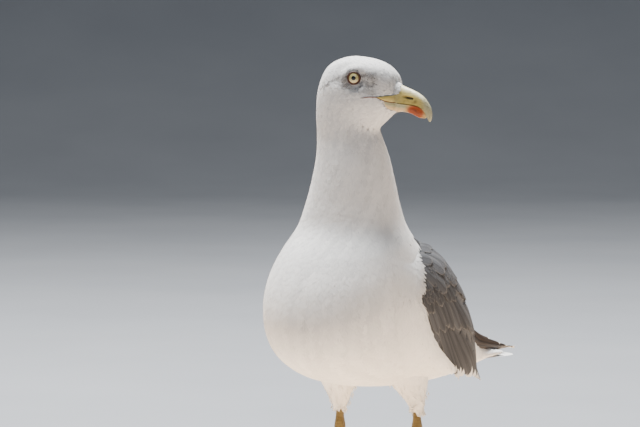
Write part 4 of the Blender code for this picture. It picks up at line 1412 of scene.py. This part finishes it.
# ------------------------------------------------------------------------------ grey back and wings
# Ash-grey feathers, each darker along its shaft and paler at its worn edge, cover the back and the
# folded wings. They lie in tracts, like slates: small ones at the bend, then longer and longer
# coverts, and the white-tipped flight feathers under them.
GREY_LOW, GREY_HIGH = (0.029, 0.030, 0.034), (0.090, 0.093, 0.102)
GREY_EDGE, GREY_SHAFT = (0.160, 0.150, 0.140), (0.014, 0.013, 0.013)
BLACK_LOW, BLACK_HIGH = (0.016, 0.011, 0.008), (0.064, 0.041, 0.027)
BLACK_EDGE, BLACK_SHAFT = (0.11, 0.08, 0.055), (0.008, 0.006, 0.005)
TIP_WHITE = (0.80, 0.78, 0.74)

# The white end of a feather: 1 beyond (1 - mark) of its length, its border broken by the barbs.
white_end, nodes, takes, gives = new_group("white end", {"Along": 0.0, "Streak": 0.5}, ("Mask",))
mark = nodes.number("mark")
past = nodes.minus(nodes.plus(takes["Along"], mark), 1.0)
past = nodes.plus(past, nodes.times(nodes.minus(takes["Streak"], 0.5), 0.04))
marked = nodes.math("GREATER_THAN", mark, 0.01)
nodes.feed(gives["Mask"], nodes.times(nodes.ramp(past, -0.015, 0.015), marked))


def flight_finish(name, low, high, edge, shaft, edge_share, roughness, sheen, gloss):
    """A feather's finish between a low and a high colour, with a dark shaft, a pale worn edge and
    a white end where its mark says so."""
    material, nodes, shader = finish(
        name, roughness, Sheen_Weight=sheen, Sheen_Roughness=0.5, Specular_IOR_Level=gloss
    )
    barb = nodes.grouped(barbs, Fineness=26.0, Slant=0.45, Partings=0.35)
    across, along, streak, parting = (barb[key] for key in ("Across", "Along", "Streak", "Parting"))
    level = nodes.plus(nodes.plus(nodes.number("tone"), 0.30), nodes.times(streak, 0.40))
    level = nodes.minus(level, nodes.times(nodes.minus(1.0, nodes.ramp(across, 0.0, 0.75)), 0.35))
    # Partings darken the feather: painted shade in the gaps between barbs.
    level = nodes.minus(level, nodes.times(parting, 0.5))
    line = nodes.times(nodes.minus(1.0, nodes.ramp(across, 0.03, 0.10)), 0.6)
    rim = nodes.math("MAXIMUM", nodes.ramp(across, 0.78, 0.98), nodes.ramp(along, 0.90, 1.0))
    colour = nodes.blend(line, nodes.blend(level, low, high), shaft)
    colour = nodes.blend(nodes.times(rim, edge_share), colour, edge)
    end = nodes.grouped(white_end, Along=along, Streak=streak)
    colour = nodes.blend(end["Mask"], colour, TIP_WHITE)
    coloured(nodes, shader, colour, nodes.minus(streak, nodes.times(parting, 0.8)), 0.4, 0.0003)
    return material


grey_plumage = flight_finish(
    "grey plumage", GREY_LOW, GREY_HIGH, GREY_EDGE, GREY_SHAFT,
    edge_share=0.65, roughness=0.70, sheen=0.05, gloss=0.28,
)
black_plumage = flight_finish(
    "black plumage", BLACK_LOW, BLACK_HIGH, BLACK_EDGE, BLACK_SHAFT,
    edge_share=0.5, roughness=0.55, sheen=0.0, gloss=0.22,
)

# How steeply the folded wing's feathers point down, in degrees, by the distance behind the legs.
LIE = np.array([(-0.09, 62), (0, 50), (0.05, 40), (0.12, 24), (0.20, 12), (0.32, 7)])
# Where the white flank closes over the wing, from the shoulder's top to the belly: share down the
# wing and distance behind the legs of its edge, then behind the legs and height of where it starts.
FLANK = np.array([
    (-0.20, -0.0400, -0.066, 0.272),
    (0.06, -0.0510, -0.084, 0.262),
    (0.23, -0.0625, -0.097, 0.249),
    (0.36, -0.0732, -0.105, 0.234),
    (0.53, -0.0797, -0.109, 0.214),
    (0.62, -0.0734, -0.108, 0.194),
    (0.68, -0.0668, -0.102, 0.177),
    (0.80, -0.0577, -0.090, 0.160),
    (0.88, -0.0451, -0.071, 0.144),
    (0.93, -0.0280, -0.048, 0.131),
    (0.97, -0.0100, -0.022, 0.122),
    (1.01, 0.0050, 0.000, 0.117),
    (1.04, 0.0220, 0.020, 0.114),
])
FLANK_ROWS = 10.0  # row of the border up to which feathers are spread evenly
FLANK_LAP = 0.003  # how far the lesser coverts run in under that border
SECONDARIES, TERTIALS = 20, 6
WISPS, TUFTS = 70, 150


def section_at(behind):
    """The wing's section, as a number of its table's row, this far behind the legs."""
    return np.interp(behind, WING[:, 0], np.arange(len(WING)))


def flank_form(wing, side):
    """The white feathers' outer side between trunk and wing. Each row is a cubic curve from the
    trunk to the wing's border that leaves both along their own surfaces. u runs down the border."""
    rows = np.linspace(0, len(FLANK) - 1, 90)
    down, behind, start_behind, start_height = through(FLANK, rows).T
    u, v = cells(np.linspace(10, 21, 221), side * np.linspace(0.5, 2.9, 145))
    trunk = body.at(u, v)
    gap = (trunk[..., 1].ravel() - legs_y - start_behind[:, None]) ** 2
    nearest = (gap + (trunk[..., 2].ravel() - start_height[:, None]) ** 2).argmin(1)
    u, v = u.ravel()[nearest], v.ravel()[nearest]
    start, start_up = body.at(u, v, 0.0002), body.up(u, v)
    u, v = section_at(behind), down
    end, end_up = wing.at(u, v, 0.0016), wing.up(u, v)
    reach = end - start
    leave = reach - start_up * (reach * start_up).sum(-1, keepdims=True)
    arrive = reach - end_up * (reach * end_up).sum(-1, keepdims=True)
    first, second = start + 0.4 * leave, end - 0.4 * arrive
    t = np.linspace(0, 1, 30)[:, None]
    points = (
        start[:, None] * (1 - t) ** 3 + 3 * first[:, None] * t * (1 - t) ** 2
        + 3 * second[:, None] * t**2 * (1 - t) + end[:, None] * t**3
    )
    return Form(points, (0, len(FLANK) - 1), (0, 1), False, -side)


def wing_lie(form, u, v, rng, stray=0.05, steeper=0.0):
    """Back and down over the folded wing, by the slopes above."""
    slope = np.radians(read_off(LIE, form.at(u, v)[:, 1] - legs_y) + steeper)
    return swung(sloping(form, u, v, slope), form.up(u, v), rng.normal(0, stray, len(u)))


def in_row(count, behind, places, down, rng, loose=0.0015):
    """Roots of one row of a tract: evenly spaced behind the legs' line, and down the wing as a
    table of places behind gives, each a little out of line."""
    at = np.linspace(*behind, count) + rng.normal(0, loose, count)
    return section_at(at), np.interp(at, places, down) + rng.normal(0, loose * 8, count)


def bend_keep(u, v, places):
    """1 over the bend of the wing, behind the white flank's edge."""
    behind = places[..., 1] - legs_y
    low = np.interp(behind, [-0.09, -0.06, 0.0, 0.05], [0.95, 0.55, 0.34, 0.1])
    return ((v < low) & (behind > read_off(FLANK, v) - FLANK_LAP)).astype(float)


BROAD = {"columns": 9, "lift": 0.0004, "root": 0.6, "blunt": 0.12, "fray": 0.05, "shaft": 0.0002}  # coverts
LOBED = {**BROAD, "lift": 0.0006, "root": 0.55, "tip": 0.58}  # scapulars


for name, side in SIDES.items():
    form = wings[name]
    rng = np.random.default_rng(21)

    # Primaries: long dark blades, the outermost lowest and longest.
    v = np.array([0.80, 0.66, 0.52, 0.38, 0.24, 0.10])
    tip = np.array([0.319, 0.303, 0.284, 0.264, 0.245, 0.229])
    start = np.full(len(tip), 0.140)
    u = section_at(start)
    blades = vanes(
        form, u, v, tailward(form, u, v, rng, 0.0), (tip - start) * 1.035, 0.0135, 0.001, rng, rows=30,
        columns=9, thick=0.0005, camber=0.0006, lift=0.0, root=0.7, widest=0.70, tip=0.32, blunt=0.035,
        fray=0.004, tone=rng.normal(0, 0.08, len(tip)),
        mark=np.array([0.055, 0.035, 0.035, 0.04, 0.045, 0.05]),
        base=np.linspace(-0.0022, 0.0002, len(tip)), shaft=0.0004, follow=True,
    )
    coat("primaries_" + name, [blades], black_plumage, "wing_tip_plumage", "wingtip_" + name)

    # Secondaries under the coverts, and the tertials that close over them.
    rows_down = [0.75, 0.70, 0.64, 0.58, 0.50]
    u, v = in_row(SECONDARIES, (-0.030, 0.120), [-0.03, 0.002, 0.029, 0.065, 0.12], rows_down, rng)
    root = form.at(u, v)
    behind = root[:, 1] - legs_y
    drop = root[:, 2] - read_off(WING, behind + 0.03, 6) + 0.0035 + rng.normal(0, 0.0006, SECONDARIES)
    slope = np.radians(read_off(LIE, behind + 0.015))
    length = np.clip(drop / np.sin(slope), 0.022, 0.076)
    secondaries = vanes(
        form, u, v, wing_lie(form, u, v, rng, 0.03), length, 0.0150, 0.0006, rng, rows=9, columns=9,
        thick=0.0004, camber=0.0004, lift=0.0003, root=0.8, tip=0.72, blunt=0.05, fray=0.03,
        tone=rng.normal(0.05, 0.07, SECONDARIES), mark=0.10, base=-0.0020 + 0.00002 * np.arange(SECONDARIES),
        shaft=0.0003,
    )
    start, tip = np.linspace(0.078, 0.100, TERTIALS), np.linspace(0.158, 0.200, TERTIALS)
    u, v = section_at(start), np.array([0.52, 0.40, 0.28, 0.17, 0.06, -0.06])
    lie = swung(tailward(form, u, v, rng, 0.02), form.read(form.normals, u, v), -side * 0.05)
    tertials = vanes(
        form, u, v, lie, tip - start, 0.0240, 0.0024, rng, rows=16, columns=9, thick=0.0004, camber=0.0008,
        lift=0.0003, root=0.6, widest=0.62, tip=0.60, blunt=0.07, fray=0.015,
        tone=rng.normal(0.03, 0.06, TERTIALS), mark=0.11, base=np.linspace(-0.0012, 0.0004, TERTIALS),
        shaft=0.0002, follow=True,
    )
    coat("flight_" + name, [secondaries, tertials], grey_plumage, "grey_plumage")

    # Coverts: greater and median in rows, lesser ones scattered over the bend of the wing.
    lots = []
    # The median rows are set darker, the highest most (tone -0.05 and -0.20): painted shade under the
    # scapulars' lower edge.
    for count, behind, down, length, width, base, tone in (
        (18, (-0.060, 0.120), [0.57, 0.42, 0.25], 0.044, 0.0135, -0.0013, 0.05),
        (19, (-0.070, 0.102), [0.44, 0.29, 0.14], 0.032, 0.0125, -0.0008, -0.05),
        (19, (-0.074, 0.080), [0.36, 0.22, 0.08], 0.020, 0.0105, -0.0005, -0.20),
    ):
        u, v = in_row(count, behind, [-0.06, 0.05, 0.13], down, rng)
        lots.append(vanes(
            form, u, v, wing_lie(form, u, v, rng), length * rng.normal(1, 0.05, count), width, 0.0010, rng,
            **BROAD, rows=7, camber=0.0004, tone=rng.normal(tone, 0.14, count), base=base,
        ))
    u, v = scattered(form, (-0.4, 7), (-0.1, 0.95), 0.0052, bend_keep, rng)
    lots.append(vanes(
        form, u, v, wing_lie(form, u, v, rng, 0.08), rng.normal(0.0135, 0.0012, len(u)), 0.0078, 0.0012, rng,
        camber=0.0003, lift=0.0004, fray=0.07, tone=rng.normal(0, 0.13, len(u)), base=-0.0003,
    ))
    coat("coverts_" + name, lots, grey_plumage, "grey_plumage")

    # Scapulars: a lobe of broad pale-edged feathers from the shoulder over the folded wing.
    lots = []
    for count, behind, down, length, width, base in (
        (9, (-0.052, 0.070), [0.36, 0.26, 0.12], 0.040, 0.0190, 0.0002),
        (10, (-0.060, 0.074), [0.24, 0.12, 0.00], 0.035, 0.0180, 0.0004),
        (10, (-0.058, 0.076), [0.10, -0.02, -0.10], 0.030, 0.0165, 0.0006),
        (10, (-0.056, 0.076), [-0.04, -0.14, -0.22], 0.026, 0.0150, 0.0008),
    ):
        u, v = in_row(count, behind, [-0.06, 0.0, 0.08], down, rng)
        lots.append(vanes(
            form, u, v, wing_lie(form, u, v, rng, 0.06, -14), length * rng.normal(1, 0.06, count), width,
            0.0014, rng, **LOBED, rows=9, camber=0.0006, tone=rng.normal(0.30, 0.14, count), base=base,
        ))
    coat("scapulars_" + name, lots, grey_plumage, "grey_plumage")

    # White feathers of shoulder and flank close over the wing's front and lower border, with a few
    # loose wisps, small tufts among the grey, and one feather that hangs free below.
    flank = flank_form(form, side)
    u, v = scattered(flank, (0, FLANK_ROWS), (0.02, 0.98), 0.0038, everywhere, rng)
    smooth_lot = vanes(
        flank, u, v, tailward(flank, u, v, rng, 0.09), rng.uniform(0.013, 0.018, len(u)), 0.0060, 0.0007, rng,
        thick=0.00012, camber=0.00002, lift=0.00005, fray=0.16, tone=rng.normal(0.08, 0.04, len(u)),
    )
    u, v = rng.uniform(4.5, 10.2, WISPS), rng.uniform(0.95, 1.0, WISPS)
    wisps = vanes(
        flank, u, v, tailward(flank, u, v, rng, 0.22), rng.uniform(0.009, 0.015, WISPS), 0.0022, 0.0004, rng,
        **WISP, rows=6, lift=0.0009, fray=0.3, tone=0.05, base=0.0003,
    )
    v = rng.uniform(0.02, 0.60, TUFTS)
    inward = rng.uniform(0, 1, TUFTS) ** 2 * (0.25 + 0.75 * bump(v, 0.42, 0.12))
    u = section_at(read_off(FLANK, v) - 0.006 + 0.012 * inward)
    tufts = vanes(
        form, u, v, wing_lie(form, u, v, rng, 0.16, -8), rng.uniform(0.007, 0.012, TUFTS), 0.0034, 0.0003,
        rng, thick=0.00012, camber=0.00005, lift=0.0002, fray=0.3, tone=rng.normal(0.14, 0.08, TUFTS),
        mark=rng.uniform(0, 0.2, TUFTS) + 0.3 * inward, base=0.0018 - 0.0007 * inward,
    )
    u, v = section_at(np.array([0.003])), np.array([0.985])
    free = vanes(
        form, u, v, wing_lie(form, u, v, rng, 0.0, 22), 0.0130, 0.0034, 0.0, rng, rows=7, thick=0.0002,
        camber=0.0, lift=0.0, root=0.5, tip=0.35, fray=0.2, tone=0.1, base=0.0012,
    )
    coat("flank_" + name, [smooth_lot, wisps, tufts, free], white_plumage, "white_plumage")


def mantle_keep(u, v, places):
    """1 between the wings: the mantle narrows once the folded wings close over it."""
    return (from_back(v) < np.interp(u, [14.3, 15.5], [MANTLE_HALF, 1.05])).astype(float)


# Mantle: broad rounded feathers over the back between the wings.
rng = np.random.default_rng(23)
mantle_ends = (MANTLE_START + 0.4, 19.5)
u, v = scattered(body, mantle_ends, (-MANTLE_HALF, MANTLE_HALF), 0.0062, mantle_keep, rng)
length = varied(u, [12, 16], [0.0150, 0.0240], rng, 0.08)
raised = smooth(u, MANTLE_START + 1.2, MANTLE_START + 2.0) * smooth(-from_back(v), -1.0, -0.6)
mantle = vanes(
    body, u, v, tailward(body, u, v, rng, 0.07), length, length * 0.60, 0.0022, rng, rows=6,
    camber=0.0003, lift=0.0004, fray=0.06, tone=rng.normal(0.12, 0.10, len(u)), base=0.0008 * raised - 0.0004,
)
coat("coat_mantle", [mantle], grey_plumage, "grey_plumage")

# The skin carries the same markings: grey on the back and wings, white everywhere else, with the
# head's grey streaks and the painted shade over its lores and under its eyes.
skin_finish, nodes, shader = finish("plumage ground", 0.85, Sheen_Weight=0.2, Sheen_Roughness=0.5)
fluff = nodes.ramp(nodes.noise(nodes.place(), 700.0, 4.0), 0.3, 0.7)
# The mark greys the head's streaks and paints shade over the lores and under the eyes.
colour = nodes.blend(nodes.number("mark"), nodes.blend(fluff, WHITE_SHADE, WHITE), STREAK_AND_SHADE_GREY)
colour = nodes.blend(nodes.number("grey"), colour, nodes.blend(fluff, GREY_LOW, GREY_HIGH))
coloured(nodes, shader, colour, fluff, 0.5, 0.0004)
places = np.empty(3 * len(skin.data.vertices), np.float32)
skin.data.vertices.foreach_get("co", places)
places = places.reshape(-1, 3).astype(float)
behind = places[:, 1] - legs_y
low_edge, top_edge = read_off(WING, behind, 6), read_off(WING, behind, 2)
wing_side = smooth(behind, -0.086, -0.078) * smooth(places[:, 2] - low_edge, 0.004, 0.010)
wing_side *= smooth(top_edge - places[:, 2], -0.008, -0.002)
wing_side *= smooth(np.abs(places[:, 0]), 0.010, 0.016)
back_top = np.interp(behind, -BODY[13:24, 0], BODY[13:24, 1])
on_top = smooth(behind, -0.052, -0.044) * smooth(places[:, 2] - back_top, -0.030, -0.022)
on_top *= smooth(-places[:, 2], -0.283, -0.277)
painted(skin, "grey", np.maximum(wing_side, on_top) * (behind < 0.18))
painted(skin, "mark", head_marks_and_shade(places) * smooth(places[:, 2], 0.385, 0.395))
dressed(
    skin, skin_finish, "white_plumage", "head", "neck", "trunk", "tail", "thigh_left", "thigh_right",
    "wing_left", "wing_right",
)


# ------------------------------------------------------------------------------ tail
# Twelve white tail feathers, fanned a little and stacked from the outermost up to the middle pair.
TAIL_START, TAIL_TIP = 0.190, 0.270  # behind the legs
TAIL_FEATHERS, TAIL_FAN = 12, math.radians(7)
TAIL_LENGTH, TAIL_WIDTH = (0.17, 0.29), (-1.2, 1.2)  # the form's ends: behind the legs, in half widths
behind, across = cells(np.linspace(*TAIL_LENGTH, 40), np.linspace(*TAIL_WIDTH, 41))
half = np.interp(behind, [0.17, 0.27], [0.0255, 0.0335])
top = np.interp(behind, [0.17, 0.21, 0.27], [0.1250, 0.1238, 0.1228]) - 0.0012 * across**2
tail_form = Form(xyz(across * half, legs_y + behind, top), TAIL_LENGTH, TAIL_WIDTH, False)
rng = np.random.default_rng(25)
place = np.linspace(-1, 1, TAIL_FEATHERS)
place = place[np.argsort(-np.abs(place))]
u, v = np.full(TAIL_FEATHERS, TAIL_START), 0.50 * place
up = tail_form.read(tail_form.normals, u, v)
lie = swung(tailward(tail_form, u, v, rng, 0.0), up, -TAIL_FAN * place)
length = TAIL_TIP - TAIL_START - 0.002 * np.abs(place)
tail_vanes = vanes(
    tail_form, u, v, lie, length, 0.0200, 0.0004, rng, rows=14, columns=9, thick=0.0005, camber=0.0004,
    lift=0.0001, root=0.75, widest=0.7, tip=0.72, blunt=0.05, fray=0.012, shaft=0.0004,
    tone=rng.normal(0.08, 0.05, TAIL_FEATHERS), base=np.linspace(-0.0022, 0.0004, TAIL_FEATHERS),
)
coverts = []
for reach, middle in ((20.9, 0.0), (21.0, math.pi)):
    u, v = scattered(body, (reach, 23.3), (middle - 1.35, middle + 1.35), 0.0058, everywhere, rng)
    coverts.append(vanes(
        body, u, v, tailward(body, u, v, rng, 0.06), np.interp(u, [21, 23.3], [0.026, 0.034]), 0.0120, 0.0012,
        rng, rows=7, camber=0.0003, lift=0.0004, fray=0.08, tone=rng.normal(0.05, 0.06, len(u)), base=0.0002,
    ))
coat("coat_tail", [tail_vanes] + coverts, white_plumage, "white_plumage")


# ------------------------------------------------------------------------------ floor and light
# A pale floor that sweeps up behind into a quiet blue-grey wall. A broad key comes from above and
# behind on the bird's right, with a cool soft fill in front and a low warm one from the floor.
floor_finish, nodes, shader = finish("studio floor", 0.7)
colour = nodes.blend(nodes.noise(nodes.place(), 3.0, 4.0), (0.25, 0.265, 0.29), (0.31, 0.325, 0.35))
nodes.feed(shader.inputs["Base Color"], colour)
SWEEP_START, SWEEP_RADIUS, WALL_TOP = 4.6, 3.0, 6.0  # how far behind the bird the floor turns up
along = np.concatenate([
    np.linspace(-12, SWEEP_START, 24),
    SWEEP_START + SWEEP_RADIUS * np.radians(np.linspace(3, 90, 30)),
    SWEEP_START + SWEEP_RADIUS * math.pi / 2 + np.linspace(0.1, WALL_TOP - SWEEP_RADIUS, 8),
])
turned = np.clip((along - SWEEP_START) / SWEEP_RADIUS, 0, math.pi / 2)
past = np.clip(along - SWEEP_START - SWEEP_RADIUS * math.pi / 2, 0, None)
away = np.minimum(along, SWEEP_START) + SWEEP_RADIUS * np.sin(turned)
rise = SWEEP_RADIUS * (1 - np.cos(turned)) + past
aside, away = cells(np.linspace(-12, 12, 25), away)
ground = np.array([-math.sin(CAMERA_AZIMUTH), math.cos(CAMERA_AZIMUTH)])
sideways = np.array([math.cos(CAMERA_AZIMUTH), math.sin(CAMERA_AZIMUTH)])
flat = away[..., None] * ground + aside[..., None] * sideways
points = xyz(flat[..., 0], flat[..., 1], rise)
rows, columns = aside.shape
i, j = cells(np.arange(rows - 1), np.arange(columns - 1))
tiles = np.stack([i, i, i + 1, i + 1], -1) * columns + np.stack([j, j + 1, j + 1, j], -1)
mesh = bpy.data.meshes.new("floor")
mesh.from_pydata(points.reshape(-1, 3).tolist(), [], tiles.reshape(-1, 4).tolist())
mesh.materials.append(floor_finish)
mesh.shade_smooth()
linked("floor", mesh)


def area_light(name, place, aim, size, power, colour):
    """A round soft light at a place, turned to its aim and not seen itself. Its power is in watts."""
    light = bpy.data.lights.new(name, "AREA")
    light.shape, light.size, light.energy, light.color = "DISK", size, power, colour
    made = linked(name, light)
    made.location = place
    made.visible_camera = False
    made.rotation_mode = "QUATERNION"
    made.rotation_quaternion = (Vector(aim) - Vector(place)).to_track_quat("-Z", "Y")


area_light("key", (-0.60, 0.42, 3.15), (0, 0, 0.28), 1.3, 440, (1.0, 0.99, 0.97))
area_light("front fill", (1.2, -2.3, 2.3), (0, 0, 0.25), 2.0, 13, (0.80, 0.89, 1.0))
area_light("floor glow", (0.05, -0.05, 0.004), (0.05, -0.05, 1.0), 1.3, 14, (1.0, 0.68, 0.38))
world = bpy.data.worlds.new("studio")
world.use_nodes = True
world.node_tree.nodes["Background"].inputs["Color"].default_value = (0.60, 0.67, 0.78, 1)
world.node_tree.nodes["Background"].inputs["Strength"].default_value = 0.23
bpy.context.scene.world = world
